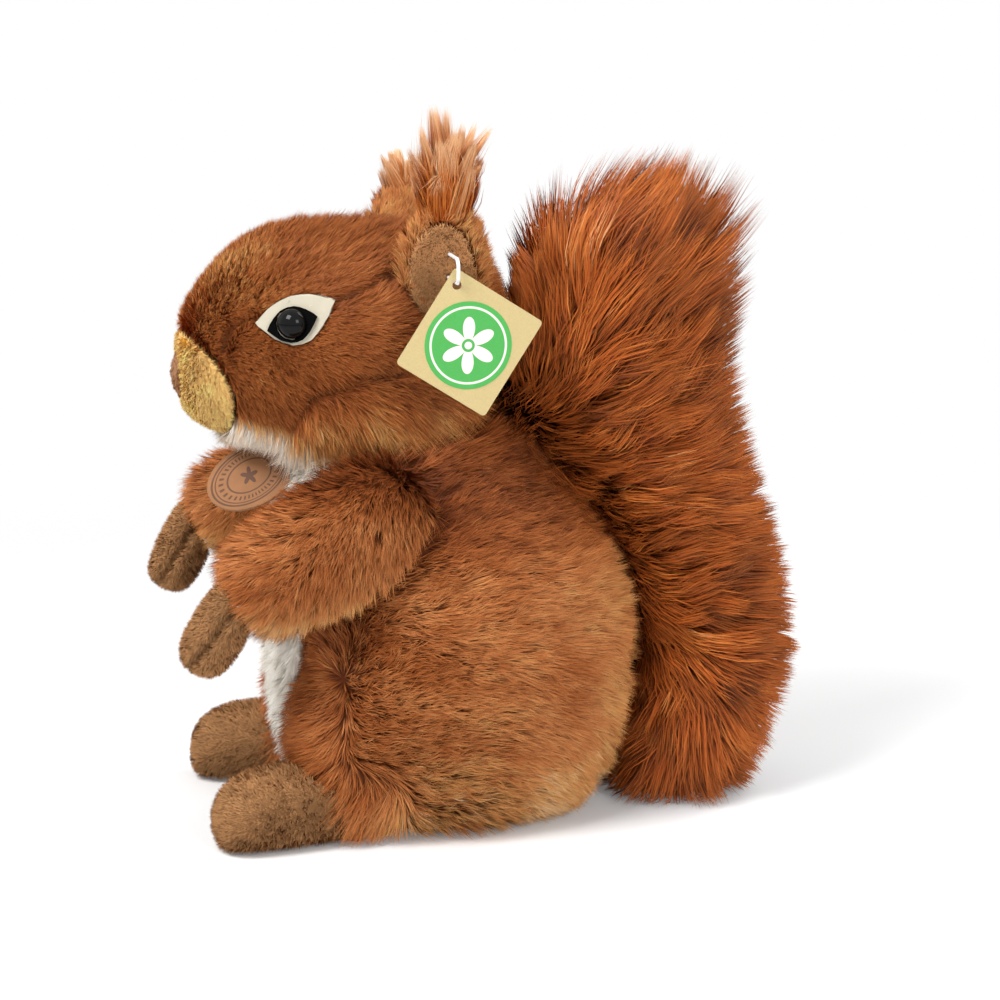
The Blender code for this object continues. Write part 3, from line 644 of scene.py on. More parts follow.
def steps(tree, value, low, high):
    """A smooth step from 0 at low to 1 at high."""
    node = tree.nodes.new("ShaderNodeMapRange")
    node.interpolation_type = "SMOOTHSTEP"
    feed(tree, node.inputs["Value"], value)
    feed(tree, node.inputs["From Min"], low)
    feed(tree, node.inputs["From Max"], high)
    return node.outputs["Result"]


def noise(tree, vector, scale, detail=3.0, roughness=0.6):
    """One Noise Texture node."""
    node = tree.nodes.new("ShaderNodeTexNoise")
    for label, value in (("Scale", scale), ("Detail", detail), ("Roughness", roughness), ("Vector", vector)):
        feed(tree, node.inputs[label], value)
    return node.outputs["Fac"]


def object_place(tree):
    """Position on the object at rest."""
    return tree.nodes.new("ShaderNodeTexCoord").outputs["Object"]


def flat_place(tree, middle, across, up):
    """(across, up) distances from the middle of a flat piece, and the distance and angle."""
    away = turns(tree, "SUBTRACT", object_place(tree), tuple(middle))
    a = turns(tree, "DOT_PRODUCT", away, tuple(across))
    b = turns(tree, "DOT_PRODUCT", away, tuple(up))
    squares = sums(tree, "ADD", sums(tree, "MULTIPLY", a, a), sums(tree, "MULTIPLY", b, b))
    return a, b, sums(tree, "SQRT", squares), sums(tree, "ARCTAN2", b, a)


def relief(tree, shader, height, distance, strength):
    """A bump on the finish."""
    node = tree.nodes.new("ShaderNodeBump")
    node.inputs["Distance"].default_value = distance
    node.inputs["Strength"].default_value = strength
    feed(tree, node.inputs["Height"], height)
    tree.links.new(node.outputs["Normal"], shader.inputs["Normal"])


def paint(node, material):
    """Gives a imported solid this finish."""
    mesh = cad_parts[node].data
    mesh.materials.clear()
    mesh.materials.append(material)


def ramp(tree, value, stops):
    """A Color Ramp over (place, colour) stops."""
    node = tree.nodes.new("ShaderNodeValToRGB")
    elements = node.color_ramp.elements
    elements[0].position, elements[0].color = stops[0][0], (*stops[0][1], 1)
    elements[1].position, elements[1].color = stops[-1][0], (*stops[-1][1], 1)
    for place, value_there in stops[1:-1]:
        elements.new(place).color = (*value_there, 1)
    feed(tree, node.inputs["Fac"], value)
    return node.outputs["Color"]


def new_group(name, inputs, outputs):
    """An empty node group with these (label, default) inputs and outputs, and its two ends."""
    tree = bpy.data.node_groups.new(name, "ShaderNodeTree")
    for side, sockets in (("INPUT", inputs), ("OUTPUT", outputs)):
        for label, value in sockets:
            kind = "NodeSocketColor" if isinstance(value, tuple) else "NodeSocketFloat"
            socket = tree.interface.new_socket(name=label, in_out=side, socket_type=kind)
            socket.default_value = (*value, 1) if isinstance(value, tuple) else value
    return tree, tree.nodes.new("NodeGroupInput"), tree.nodes.new("NodeGroupOutput")


def pile_group():
    """Colour of a strand from its dye: a dark root, then the dye, then a paler tip. The dark root is partly
    the dye and partly painted shade deep in the pile.
    """
    found = bpy.data.node_groups.get("pile_shade")
    if found:
        return found
    inputs = [("Dye", (0.5, 0.5, 0.5)), ("Root", (0.1, 0.1, 0.1)), ("Tip", (0.8, 0.8, 0.8)),
              ("Root Reach", 0.6), ("Tip Start", 0.6), ("Tip Share", 0.3), ("Streaks", 0.15)]
    tree, ins, outs = new_group("pile_shade", inputs, [("Color", (0.5, 0.5, 0.5))])
    place = tree.nodes.new("ShaderNodeUVMap")
    place.uv_map = MAP
    split = tree.nodes.new("ShaderNodeSeparateXYZ")
    tree.links.new(place.outputs["UV"], split.inputs["Vector"])
    up = split.outputs["Y"]
    # Darker toward the root: partly the dye and partly painted shade deep in the pile
    grown = steps(tree, up, 0.0, ins.outputs["Root Reach"])
    body = mix(tree, grown, ins.outputs["Root"], ins.outputs["Dye"])
    end = sums(tree, "MULTIPLY", steps(tree, up, ins.outputs["Tip Start"], 1.0), ins.outputs["Tip Share"])
    tipped = mix(tree, end, body, ins.outputs["Tip"])
    bands = turns(tree, "MULTIPLY", place.outputs["UV"], (SHADES * 1.0, 2.5, 1.0))
    streak = sums(tree, "SUBTRACT", noise(tree, bands, 1.0, 1.0), 0.5)
    bright = sums(tree, "MULTIPLY_ADD", streak, ins.outputs["Streaks"], 1.0)
    shade = tree.nodes.new("ShaderNodeCombineXYZ")
    for socket in shade.inputs:
        tree.links.new(bright, socket)
    streaked = mix(tree, 1.0, tipped, shade.outputs["Vector"], "MULTIPLY")
    tree.links.new(streaked, outs.inputs["Color"])
    return tree


def cloud_group():
    """Colour that drifts between two near tones through a piece."""
    found = bpy.data.node_groups.get("cloud_shade")
    if found:
        return found
    inputs = [("Dark", (0.4, 0.4, 0.4)), ("Light", (0.6, 0.6, 0.6)), ("Scale", 500.0)]
    tree, ins, outs = new_group("cloud_shade", inputs, [("Color", (0.5, 0.5, 0.5))])
    clouds = noise(tree, object_place(tree), ins.outputs["Scale"])
    tree.links.new(mix(tree, clouds, ins.outputs["Dark"], ins.outputs["Light"]), outs.inputs["Color"])
    return tree


def use_group(tree, group, **values):
    """The group in a material, with its inputs set by their names with _ for a space."""
    node = tree.nodes.new("ShaderNodeGroup")
    node.node_tree = group
    for label, value in values.items():
        feed(tree, node.inputs[label.replace("_", " ")], value)
    return node


def new_material(name, roughness, level=0.5):
    material = bpy.data.materials.new(name)
    material.use_nodes = True
    tree = material.node_tree
    shader = tree.nodes["Principled BSDF"]
    shader.inputs["Roughness"].default_value = roughness
    shader.inputs["Specular IOR Level"].default_value = level
    return material, tree, shader


def pile(name, stops, root, tip, reach=0.7, tip_start=0.55, tip_share=0.25, roughness=0.55, streaks=0.2,
         level=0.12):
    """A pile's finish. The stops give the dye for each shade."""
    found = bpy.data.materials.get(name)
    if found:
        return found
    material, tree, shader = new_material(name, roughness, level)
    place = tree.nodes.new("ShaderNodeUVMap")
    place.uv_map = MAP
    split = tree.nodes.new("ShaderNodeSeparateXYZ")
    tree.links.new(place.outputs["UV"], split.inputs["Vector"])
    dye = ramp(tree, split.outputs["X"], stops)
    shade = use_group(tree, pile_group(), Dye=dye, Root=tuple(root), Tip=tuple(tip), Root_Reach=reach,
                      Tip_Start=tip_start, Tip_Share=tip_share, Streaks=streaks)
    tree.links.new(shade.outputs["Color"], shader.inputs["Base Color"])
    return material


def short_pile(dyes):
    stops = [(0.0, dyes.umber), (0.25, dyes.rust), (0.5, dyes.russet), (0.70, dyes.tan),
             (0.88, dyes.gold), (1.0, dyes.straw)]
    return pile("short_pile", stops, tinted(dyes.umber, 1.7), dyes.tan, tip_start=0.6)


def head_pile(dyes):
    stops = [(0.0, dyes.umber), (0.25, dyes.rust), (0.5, dyes.russet), (0.66, dyes.gold),
             (0.80, dyes.straw), (0.90, dyes.cream), (1.0, dyes.cream)]
    return pile("head_pile", stops, tinted(dyes.umber, 2.6), dyes.gold, tip_start=0.6, tip_share=0.18)


def tail_pile(dyes):
    stops = [(0.0, dyes.mahogany), (0.25, dyes.rust), (0.5, dyes.copper), (0.72, dyes.amber),
             (0.9, dyes.straw), (1.0, dyes.cream)]
    return pile("tail_pile", stops, tinted(dyes.mahogany, 1.3), dyes.amber, reach=0.65, tip_start=0.6,
                tip_share=0.3, roughness=0.5, streaks=0.3, level=0.15)


def tuft_pile(dyes):
    stops = [(0.0, dyes.rust), (0.35, dyes.copper), (0.6, dyes.amber), (0.85, dyes.straw), (1.0, dyes.cream)]
    return pile("tuft_pile", stops, dyes.copper, tinted(dyes.straw, 1.08), reach=0.35, tip_share=0.85,
                roughness=0.6, level=0.06)


def plain_pile(name, dye, roughness=0.7, dark=0.6, share=0.2, level=0.06):
    """A pile of one dye that only grows lighter and darker."""
    stops = [(0.0, tinted(dye, 0.45)), (0.5, tuple(dye)), (1.0, tinted(dye, 1.5, 0.95))]
    return pile(name, stops, tinted(dye, dark), tinted(dye, 1.4, 0.95), reach=0.6, tip_start=0.6,
                tip_share=share, roughness=roughness, level=level)


def cloudy_plastic(name, dye, dark, scale, roughness):
    """A plain plastic with faint clouds in it."""
    material, tree, shader = new_material(name, roughness)
    clouds = use_group(tree, cloud_group(), Dark=tinted(dye, dark), Light=tuple(dye), Scale=scale)
    tree.links.new(clouds.outputs["Color"], shader.inputs["Base Color"])
    return material


def make_body(settings, dyes):
    """The stuffed body with its short pile, combed from the front over the haunches."""
    node = "body"
    shell = shell_of(node, voxel=0.003, rounds=3)
    bare = bare_vertices(shell, node)

    def chest(points):
        """1 on the front, above the feet."""
        return ease(points[:, 1], *CHEST_Y) * ease(points[:, 2], *CHEST_Z)

    def apron(points):
        """1 where the haunch hangs over its foot."""
        return ease(points[:, 2], *APRON_Z) * ease(points[:, 1], *APRON_Y)

    def flow(points):
        front = ease(points[:, 1], *CHEST_Y)[:, None]
        rise = ease(points[:, 1], 0.03, -0.03)[:, None] * (1 - front)
        rear = ease(points[:, 1], 0.0, 0.05)[:, None] * ease(points[:, 2], 0.09, 0.02)[:, None]
        waves = ripple(points, 0.045, 11)[:, None]
        hang = apron(points)[:, None]
        way = BACK * (1 - 1.7 * front) + UP * (0.45 * rise - 0.75 * rear - 0.5 * front + 0.35 * waves)
        return way * (1 - hang) - (BACK * 0.7 + UP * 0.8) * hang

    def length(points):
        share = 1 + 0.15 * ripple(points, 0.02, 12) + 0.9 * apron(points) - 0.35 * chest(points)
        return settings.body_pile * share

    def shade(points):
        top = ease(points[:, 2], *BODY_TOP_Z)
        rear = ease(points[:, 1], *BODY_REAR_Y)
        foot = ease(points[:, 2], *BODY_FOOT_Z) * ease(points[:, 1], *BODY_FOOT_Y)
        front = ease(points[:, 1], -0.025, -0.050)
        base = 0.60 - 0.36 * top + np.maximum(0.19 * rear * (1 - top), 0.29 * foot) - 0.14 * front
        return base + 0.07 * ripple(points, 0.030, 13) + 0.05 * ripple(points, 0.010, 14)

    shell = drawn_in(shell, settings.body_pile * (0.40 + 0.35 * chest(shell.points)))
    layers = [
        skin(shell, shade(shell.points)),
        grow(shell, bare, COATS["body"], length, flow, shade, settings, 1),
    ]
    stand_for(add_mesh("body_pile", layers, short_pile(dyes)), "rust_fur", node, fill=0.9)


def lowest_along(shell):
    """A function for how low the shell reaches at each place along the y axis."""
    levels = np.linspace(shell.points[:, 1].min() + 0.002, shell.points[:, 1].max() - 0.002, 24)
    near = [shell.points[np.abs(shell.points[:, 1] - level) < 0.004] for level in levels]
    lows = [part[:, 2].min() for part in near]
    return lambda points: np.interp(points[:, 1], levels, lows)


def make_head(settings, dyes):
    """The stuffed head: short on the face, long in the ruff under the cheeks, white at the throat."""
    node = "head"
    shell = shell_of(node, voxel=0.0018, rounds=2)
    bare = bare_vertices(shell, node)
    lows = lowest_along(shell)
    eyes = [np.array(sum(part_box(f"{side}_eye_patch"), Vector()) / 2) for side in SIDES]

    def face(points):
        """0 in the ruff and at the back, and 1 on the snout and round the eyes."""
        near = ease(points[:, 1], -0.045, -0.085)
        for eye in eyes:
            near = np.maximum(near, ease(np.linalg.norm(points - eye, axis=1), 0.024, 0.012))
        return near

    def seams(points):
        """1 on a seam, and 0 on the crown."""
        lines = [to_line(points[:, 1:], line) for line in (BROW_SEAM, SNOUT_SEAM, CHEEK_SEAM)]
        away = np.minimum.reduce(lines) / SEAM_WIDTH
        return np.exp(-away ** 2) * ease(np.abs(points[:, 0]), 0.008, 0.014)

    def ruff(points):
        """1 under the cheeks."""
        low = ease(points[:, 2], 0.1485, 0.138)
        return low * ease(points[:, 1], -0.066, -0.052) * ease(np.abs(points[:, 0]), 0.012, 0.022)

    def throat(points):
        """1 on the white underside."""
        under = ease(points[:, 2] - lows(points), 0.0105, 0.0070) * ease(points[:, 2], 0.156, 0.150)
        return under * ease(points[:, 1], -0.040, -0.050) * ease(np.abs(points[:, 0]), 0.036, 0.030)

    def flow(points):
        hang = ruff(points)[:, None]
        cheek = ease(points[:, 2], 0.180, 0.150)[:, None]
        waves = ripple(points, 0.03, 21)[:, None]
        white = throat(points)[:, None]
        way = BACK - UP * (0.15 * cheek + 1.1 * hang + 0.15 * waves)
        return way * (1 - white) - (BACK * 0.4 + UP) * white

    def length(points):
        near = face(points)
        long = ruff(points)
        base = settings.head_pile * (1 - 0.45 * near) * (1 - long) + settings.ruff_pile * long
        return base * (1 - 0.45 * seams(points)) + 0.0045 * throat(points)

    def shade(points):
        brow = ease(points[:, 1], -0.055, -0.080) * ease(points[:, 2], 0.165, 0.180)
        # Darker along the seams: painted shade in their grooves
        base = 0.39 + 0.17 * brow + 0.18 * ruff(points) - 0.26 * seams(points)
        base += 0.05 * ripple(points, 0.02, 23)
        white = throat(points)
        return base * (1 - white) + 0.95 * white

    depth = settings.head_pile * (0.46 - 0.30 * face(shell.points)) + SEAM_DEPTH * seams(shell.points)
    shell = drawn_in(shell, depth)
    cheeks = ruff(shell.points)
    dense = bare * (1 - 0.5 * cheeks) * (1 + 1.2 * face(shell.points))
    layers = [
        skin(shell, shade(shell.points)),
        grow(shell, dense, COATS["head"], length, flow, shade, settings, 2, spread=0.04),
        grow(shell, bare * cheeks, COATS["ruff"], length, flow, shade, settings, 6, droop=0.2),
    ]
    stand_for(add_mesh("head_pile", layers, head_pile(dyes)), "rust_fur", node, fill=0.9)


def make_arms(settings, dyes):
    """Both sleeves, combed down to the cuff."""
    for side, hand in SIDES.items():
        node = f"{side}_arm"
        shell = shell_of(node, voxel=0.0025, rounds=3)
        bare = bare_vertices(shell, node)
        shell = drawn_in(shell, settings.arm_pile * 0.38)
        low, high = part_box(node)

        def flow(points):
            cuff = ease(points[:, 1], -0.040, low.y + 0.004)[:, None]
            return -BACK * (0.5 + cuff) - UP * (0.75 + 0.2 * ripple(points, 0.03, 31)[:, None])

        def length(points):
            return settings.arm_pile * (1 + 0.12 * ripple(points, 0.025, 32))

        def shade(points):
            bottom = ease(points[:, 2], low.z + 0.020, low.z + 0.006)
            rear = ease(points[:, 1], -0.055, -0.030) * ease(points[:, 2], high.z - 0.008, high.z - 0.022)
            upper = ease(points[:, 2], high.z - 0.020, high.z - 0.004)
            return 0.60 + 0.27 * bottom + 0.06 * rear - 0.50 * upper + 0.06 * ripple(points, 0.025, 33)

        layers = [
            skin(shell, shade(shell.points)),
            grow(shell, bare, COATS["arm"], length, flow, shade, settings, 3 + hand),
        ]
        stand_for(add_mesh(f"{side}_arm_pile", layers, short_pile(dyes)), "rust_fur", node, fill=0.85)


def plush(name, node, slot, material, settings, seed, pile_length, count, voxel, comb, inset=0.85,
          carve_and_painted_shade=None, fill=0.85, width=0.00030, patches=0.06, tint=None, swirl=0.2, lift=1.05):
    """A short even plush on one node. The carve function presses it in and darkens it there with painted
    shade, and tint shifts its shade.
    """
    shell = shell_of(node, voxel=voxel, rounds=2)
    bare = bare_vertices(shell, node)
    depth = np.full(len(shell.points), pile_length * inset)
    if carve_and_painted_shade is not None:
        depth += carve_and_painted_shade(shell.points)
    shell = drawn_in(shell, depth)

    def flow(points):
        return np.asarray(comb) + swirl * np.stack([ripple(points, 0.010, seed + k) for k in range(3)], 1)

    def length(points):
        return np.full(len(points), pile_length)

    def shade(points):
        base = 0.5 + patches * ripple(points, 0.010, seed + 5) + patches * ripple(points, 0.004, seed + 6)
        if tint is not None:
            base = base + tint(points)
        # Painted shade: darker where the plush is carved in
        return base - (carve_and_painted_shade(points) * 130 if carve_and_painted_shade is not None else 0)

    coat = COATS["plush"]._replace(count=count, width=width, lift=lift)
    layers = [
        skin(shell, shade(shell.points)),
        grow(shell, bare, coat, length, flow, shade, settings, seed, spread=0.06, own_share=0.2),
    ]
    stand_for(add_mesh(name, layers, material), slot, node, fill=fill)


def make_paws(settings, dyes):
    """Both plush paws, each with the long crease that its stitch draws in, darkened with painted shade."""
    material = plain_pile("paw_plush", dyes.taupe)
    for side, hand in SIDES.items():
        low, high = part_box(f"{side}_paw")
        line = ((high.y, high.z), (low.y + 0.004, low.z + 0.006))

        def crease(points):
            return 0.0026 * np.exp(-(to_line(points[:, 1:], line) / 0.0014) ** 2)

        plush(f"{side}_paw_plush", f"{side}_paw", "taupe_plush", material, settings, 40 + hand,
              settings.plush_pile, 13000, 0.0012, (0, -0.6, -0.8), carve_and_painted_shade=crease)


def make_feet(settings, dyes):
    """Both plush feet."""
    material = plain_pile("paw_plush", dyes.taupe)
    for side, hand in SIDES.items():
        plush(f"{side}_foot_plush", f"{side}_foot", "taupe_plush", material, settings, 50 + hand,
              settings.plush_pile, 17000, 0.0014, (0, -1, 0.1))


def make_belly(settings, dyes):
    """The white panel down the chest and belly."""
    node = "belly_panel"
    material = plain_pile("cream_pile", dyes.cream, 0.75, 0.95)
    shell = shell_of(node, voxel=0.0018, rounds=1)
    bare = bare_vertices(shell, node)
    shell = moved(shell, shell.points + BACK * settings.cream_pile * 0.35)

    def flow(points):
        return -UP - BACK * 0.2 + OUT * 0.15 * ripple(points, 0.02, 61)[:, None]

    def length(points):
        return np.full(len(points), settings.cream_pile)

    def shade(points):
        return 0.5 + 0.1 * ripple(points, 0.01, 62)

    layers = [
        skin(shell, shade(shell.points)),
        grow(shell, bare, COATS["belly"], length, flow, shade, settings, 60),
    ]
    stand_for(add_mesh("belly_pile", layers, material), "cream_fur", node, fill=0.6)


def make_snout(settings, dyes):
    """The ochre snout and the brown fabric nose."""
    ochre = plain_pile("snout_plush", dyes.ochre, 0.75, 0.9)
    plush("muzzle_plush", "muzzle", "ochre_fur", ochre, settings, 70, settings.snout_pile, 24000, 0.0012,
          (0, 1, -0.5), inset=0.15, width=0.00036, patches=0.09, swirl=0.15, lift=0.75)
    cocoa = plain_pile("nose_plush", dyes.cocoa, 0.8, 0.7)
    low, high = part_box("nose")

    # Dents at the nostrils; the plush darkens them with painted shade
    def nostril(points):
        dent = np.zeros(len(points))
        for hand in SIDES.values():
            spot = (hand * 0.0052, low.y + 0.0030, (low.z + high.z) / 2 - 0.0020)
            dent += 0.0010 * bump(points, spot, 0.0045)
        return dent

    plush("nose_plush", "nose", "nose_fabric", cocoa, settings, 72, settings.felt_pile * 2, 7000, 0.0008,
          (0, 0.3, -1), inset=0.5, carve_and_painted_shade=nostril, fill=0.7, width=0.00026)


def make_ears(settings, dyes):
    """Furry ears with their plush linings."""
    taupe = plain_pile("paw_plush", dyes.taupe)
    for side, hand in SIDES.items():
        node = f"{side}_ear"
        shell = shell_of(node, voxel=0.0012, rounds=2)
        bare = bare_vertices(shell, node, 0.0010)
        shell = drawn_in(shell, settings.ear_pile * 0.22)

        def flow(points):
            return UP + BACK * (0.25 + 0.2 * ripple(points, 0.015, 81)[:, None])

        def length(points):
            return np.full(len(points), settings.ear_pile)

        def shade(points):
            return 0.74 + 0.05 * ease(points[:, 1], -0.010, 0.004) + 0.04 * ripple(points, 0.01, 82)

        layers = [
            skin(shell, shade(shell.points)),
            grow(shell, bare, COATS["ear"], length, flow, shade, settings, 80 + hand),
        ]
        stand_for(add_mesh(f"{side}_ear_pile", layers, short_pile(dyes)), "rust_fur", node, fill=0.5)
        lining = f"{node}_lining"
        low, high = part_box(lining)

        def fold(points):
            """Darker down in the hollow: painted shade in the fold of the lining."""
            return 0.46 - 0.52 * ease(points[:, 2], high.z - 0.008, low.z + 0.010)

        plush(f"{lining}_plush", lining, "taupe_plush", taupe, settings, 84 + hand, settings.plush_pile,
              7000, 0.0, (0, 0.2, 1), inset=0.1, fill=0.3, tint=fold, lift=0.65)


def make_tufts(settings, dyes):
    """A fan of fine locks on the top of each ear."""
    material = tuft_pile(dyes)
    for side, dye in zip(SIDES, TUFT_TONES_WITH_PAINTED_LIGHT):
        node = f"{side}_ear_tuft"
        coat = COATS[f"{side}_tuft"]
        rng = rng_of(settings, 90 + coat.count)
        shell = shell_of(node, voxel=0.0016, rounds=3)
        heights = shell.points[:, 2]
        size = np.ptp(shell.points, axis=0)
        base = shell.points[heights < heights.min() + 0.25 * size[2]].mean(axis=0)
        crown = shell.points[heights > heights.max() - 0.2 * size[2]].mean(axis=0)
        axis = unit(crown - base)
        across = lay(np.array([0.15, 1.0, 0.0]), axis)
        aside = np.cross(axis, across)
        count = int(coat.count * settings.density)
        wide = np.clip(rng.normal(size=(count, 1)) * 0.42, -1, 1)
        deep = np.clip(rng.normal(size=(count, 1)) * 0.45, -1, 1)
        roots = base + across * wide * size[1] * 0.26 + aside * deep * size[0] * 0.32
        roots += axis * (rng.uniform(-0.16, 0.10, (count, 1)) - 0.12 * wide * wide) * size[2]
        fan = rng.normal(size=(count, 1)) * np.where(rng.random((count, 1)) < 0.05, 0.4, 0.03)
        ways = unit(axis + across * (wide * 0.46 + fan) + aside * deep * 0.22)
        normals = lay(across * wide + aside * (deep + 0.3), ways)
        reach = size[2] * (0.98 - 0.42 * wide[:, 0] ** 2) * rng.uniform(0.35, 1.0, count)
        points, lock = strands(rng, roots, normals, ways, reach, coat)
        # The paler shade of the far right tuft is painted light
        shade = dye + rng.normal(size=count)[lock] * 0.08 + rng.normal(size=count) * 0.08
        width = coat.width * rng.uniform(0.7, 1.2, count)
        heart = moved(shell, base + (shell.points - base) * (0.40, 0.40, 0.22))
        layers = [skin(heart, np.full(len(heart.points), 0.3)), coat_of(rng, points, normals, shade, width)]
        stand_for(add_mesh(f"{side}_ear_tuft_pile", layers, material), "tail_fur", node, fill=0.3)


def tail_core(settings):
    """The stuffed core of the tail, and a function for the middle of its depth at each height."""
    outer = shell_of("tail", voxel=0.004, rounds=2)
    levels = np.linspace(0.004, 0.215, 18)
    middles = []
    for level in levels:
        near = outer.points[np.abs(outer.points[:, 2] - level) < 0.008, 1]
        middles.append(near.min() * 0.60 + near.max() * 0.40)

    def axis(heights):
        return np.interp(heights, levels, middles)

    top = outer.points[:, 2].max()
    rise = (top - TAIL_CROWN - TAIL_BOTTOM) / top
    core = outer.points.copy()
    core[:, 2] = TAIL_BOTTOM + core[:, 2] * rise
    away = outer.points[:, 1] - axis(outer.points[:, 2])
    fore = ease(away, 0.0, -0.012) * ease(core[:, 2], 0.02, 0.09)
    waist = ease(core[:, 2], 0.095, 0.120) * ease(core[:, 2], 0.175, 0.150)
    deep = settings.tail_core + (0.84 + 0.30 * waist - settings.tail_core) * fore
    core[:, 1] = axis(core[:, 2]) + away * deep
    core[:, 0] *= settings.tail_core
    return moved(outer, core), axis


def make_tail(settings, dyes):
    """The tail: a stuffed core with long pile that sweeps up and back in locks."""
    shell, axis = tail_core(settings)
    envelope = tree_of(["tail"])
    material = tail_pile(dyes)
    heights, angles = np.array(SWEEP).T

    def away(points):
        """How far the points lie behind the middle of the tail."""
        return points[:, 1] - axis(points[:, 2])

    def flow(points, normals):
        angle = np.radians(np.interp(points[:, 2], heights, angles))
        front = ease(away(points), -0.006, -0.018) * ease(points[:, 2], 0.13, 0.17)
        angle = angle + front * (math.radians(100) - angle)
        low = ease(away(points), 0.010, -0.008) * ease(points[:, 2], 0.060, 0.030)
        angle = angle + low * (math.radians(-125) - angle)
        angle = angle + 0.20 * ripple(points, 0.040, 91)
        way = BACK * np.cos(angle)[:, None] + UP * np.sin(angle)[:, None]
        return unit(way - normals * np.minimum(dot(way, normals), 0) + normals * 0.05)

    def shade(points):
        crest = ease(points[:, 2], 0.160, 0.205)
        back = ease(points[:, 1], 0.085, 0.100) * ease(points[:, 2], 0.14, 0.18)
        return 0.37 + 0.12 * crest + 0.12 * back + 0.06 * ripple(points, 0.03, 92)

    def reach_of(roots, ways):
        """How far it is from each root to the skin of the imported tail."""
        reach = np.full(len(roots), 0.03)
        for index, (root, way) in enumerate(zip(roots, ways)):
            struck = envelope.ray_cast(Vector(root), Vector(way), 0.09)
            if struck[0] is not None:
                reach[index] = struck[3]
        return np.clip(reach, 0.012, 0.058)

    for label, (number, least, most) in TAIL_COATS.items():
        coat = COATS[f"tail_{label}"]
        rng = rng_of(settings, number)
        weight = np.ones(len(shell.points))
        roots, normals = scatter(rng, shell, int(coat.count * settings.density), weight)
        ways = flow(roots, normals)
        lift = coat.lift * (1 - coat.fall / 2)
        reach = reach_of(roots, unit(ways * math.cos(lift) + normals * math.sin(lift)))
        low = ease(roots[:, 2], 0.060, 0.025) * ease(away(roots), 0.010, -0.005)
        length = reach * rng.uniform(least, most, len(roots)) * (1 + 0.45 * low)
        points, lock = strands(rng, roots, normals, ways, length, coat)
        points[:, :, 2] = np.maximum(points[:, :, 2], FLOOR_GAP)
        tone = shade(roots) + rng.normal(size=len(roots))[lock] * 0.11 + rng.normal(size=len(roots)) * 0.09
        width = coat.width * rng.uniform(0.7, 1.25, len(roots))
        layers = [coat_of(rng, points, normals, np.minimum(tone, 0.80), width)]
        if label == "inner":
            layers.append(skin(shell, np.full(len(shell.points), 0.25)))
        obj = add_mesh(f"tail_{label}_pile", layers, material)
        if label == "inner":
            stand_for(obj, "tail_fur", "tail", fill=0.4)
        else:
            stand_for(obj, "tail_fur")


def plate_frame(node):
    """Middle, long side and short side of a flat node."""
    points = np.array([vertex.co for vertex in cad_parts[node].data.vertices])
    middle = points.mean(axis=0)
    _, ways = np.linalg.eigh(np.cov((points - middle).T))
    return middle, ways[:, 2], ways[:, 1]


def eye_way(hand):
    """The way a safety eye faces."""
    return Vector((hand * math.cos(EYE_TURN), -math.sin(EYE_TURN), math.tan(EYE_TILT))).normalized()


def turned(name, profile, sides, place, material):
    """A solid turned about Z from (radius, height) points that start and end on the axis."""
    bm = bmesh.new()
    rings = []
    for across, up in profile:
        angles = [2 * math.pi * k / sides for k in range(sides if across > 1e-6 else 1)]
        rings.append([bm.verts.new((across * math.cos(a), across * math.sin(a), up)) for a in angles])
    for upper, lower in zip(rings, rings[1:]):
        for k in range(sides):
            near = (upper[k % len(upper)], lower[k % len(lower)])
            far = (lower[(k + 1) % len(lower)], upper[(k + 1) % len(upper)])
            bm.faces.new(dict.fromkeys(near + far))
    bmesh.ops.recalc_face_normals(bm, faces=bm.faces)
    bm.transform(place)
    mesh = bpy.data.meshes.new(name)
    bm.to_mesh(mesh)
    bm.free()
    mesh.shade_smooth()
    mesh.set_sharp_from_angle(angle=math.radians(50))
    mesh.materials.append(material)
    obj = bpy.data.objects.new(name, mesh)
    bpy.context.scene.collection.objects.link(obj)
    return obj


def make_eyes(settings, dyes):
    """Glossy domed eyes on their shanks, and the felts round them."""
    gloss, tree, shader = new_material("eye_gloss", 0.04, 0.15)
    shader.inputs["Base Color"].default_value = (*dyes.black, 1)
    specks = noise(tree, object_place(tree), 900.0)
    feed(tree, shader.inputs["Roughness"], sums(tree, "MULTIPLY_ADD", specks, 0.05, 0.02))
    cream = plain_pile("patch_felt", dyes.felt, 0.85, 0.9, 0.1)
    black = plain_pile("liner_felt", dyes.black, 0.9, 0.9, 0.1, 0.0)
    quarter = np.linspace(0, math.pi / 2, 20)
    profile = [(EYE_RADIUS * math.sin(a), EYE_RISE * math.cos(a)) for a in quarter]
    profile += [(EYE_RADIUS * 0.97, -0.0002), (SHANK_RADIUS, -0.0002), (SHANK_RADIUS, -SHANK_LENGTH),
                (0.0, -SHANK_LENGTH)]
    for side, hand in SIDES.items():
        node = f"{side}_eye"
        way = eye_way(hand)
        crown = max((vertex.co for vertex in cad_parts[node].data.vertices), key=way.dot)
        turn = way.to_track_quat("Z", "Y").to_matrix().to_4x4()
        place = Matrix.Translation(crown - way * EYE_SEAT) @ turn
        stand_for(turned(f"{node}_dome", profile, EYE_SIDES, place, gloss), "eye_plastic", node)
        plush(f"{node}_patch_felt", f"{node}_patch", "cream_felt", cream, settings, 100 + hand,
              settings.felt_pile * 2, 7000, 0.0, (0, 1, 0.2), inset=0.15, fill=None, width=0.00020,
              lift=0.6)
        plush(f"{node}_liner_felt", f"{node}_liner", "black_felt", black, settings, 104 + hand,
              settings.felt_pile * 0.7, 2500, 0.0, (0, 1, 0.2), inset=0.3, fill=None, width=0.00020)


def inside(tree, value, limit, edge=PRINT_EDGE):
    """1 where the value is under the limit."""
    return steps(tree, value, limit + edge, limit - edge)


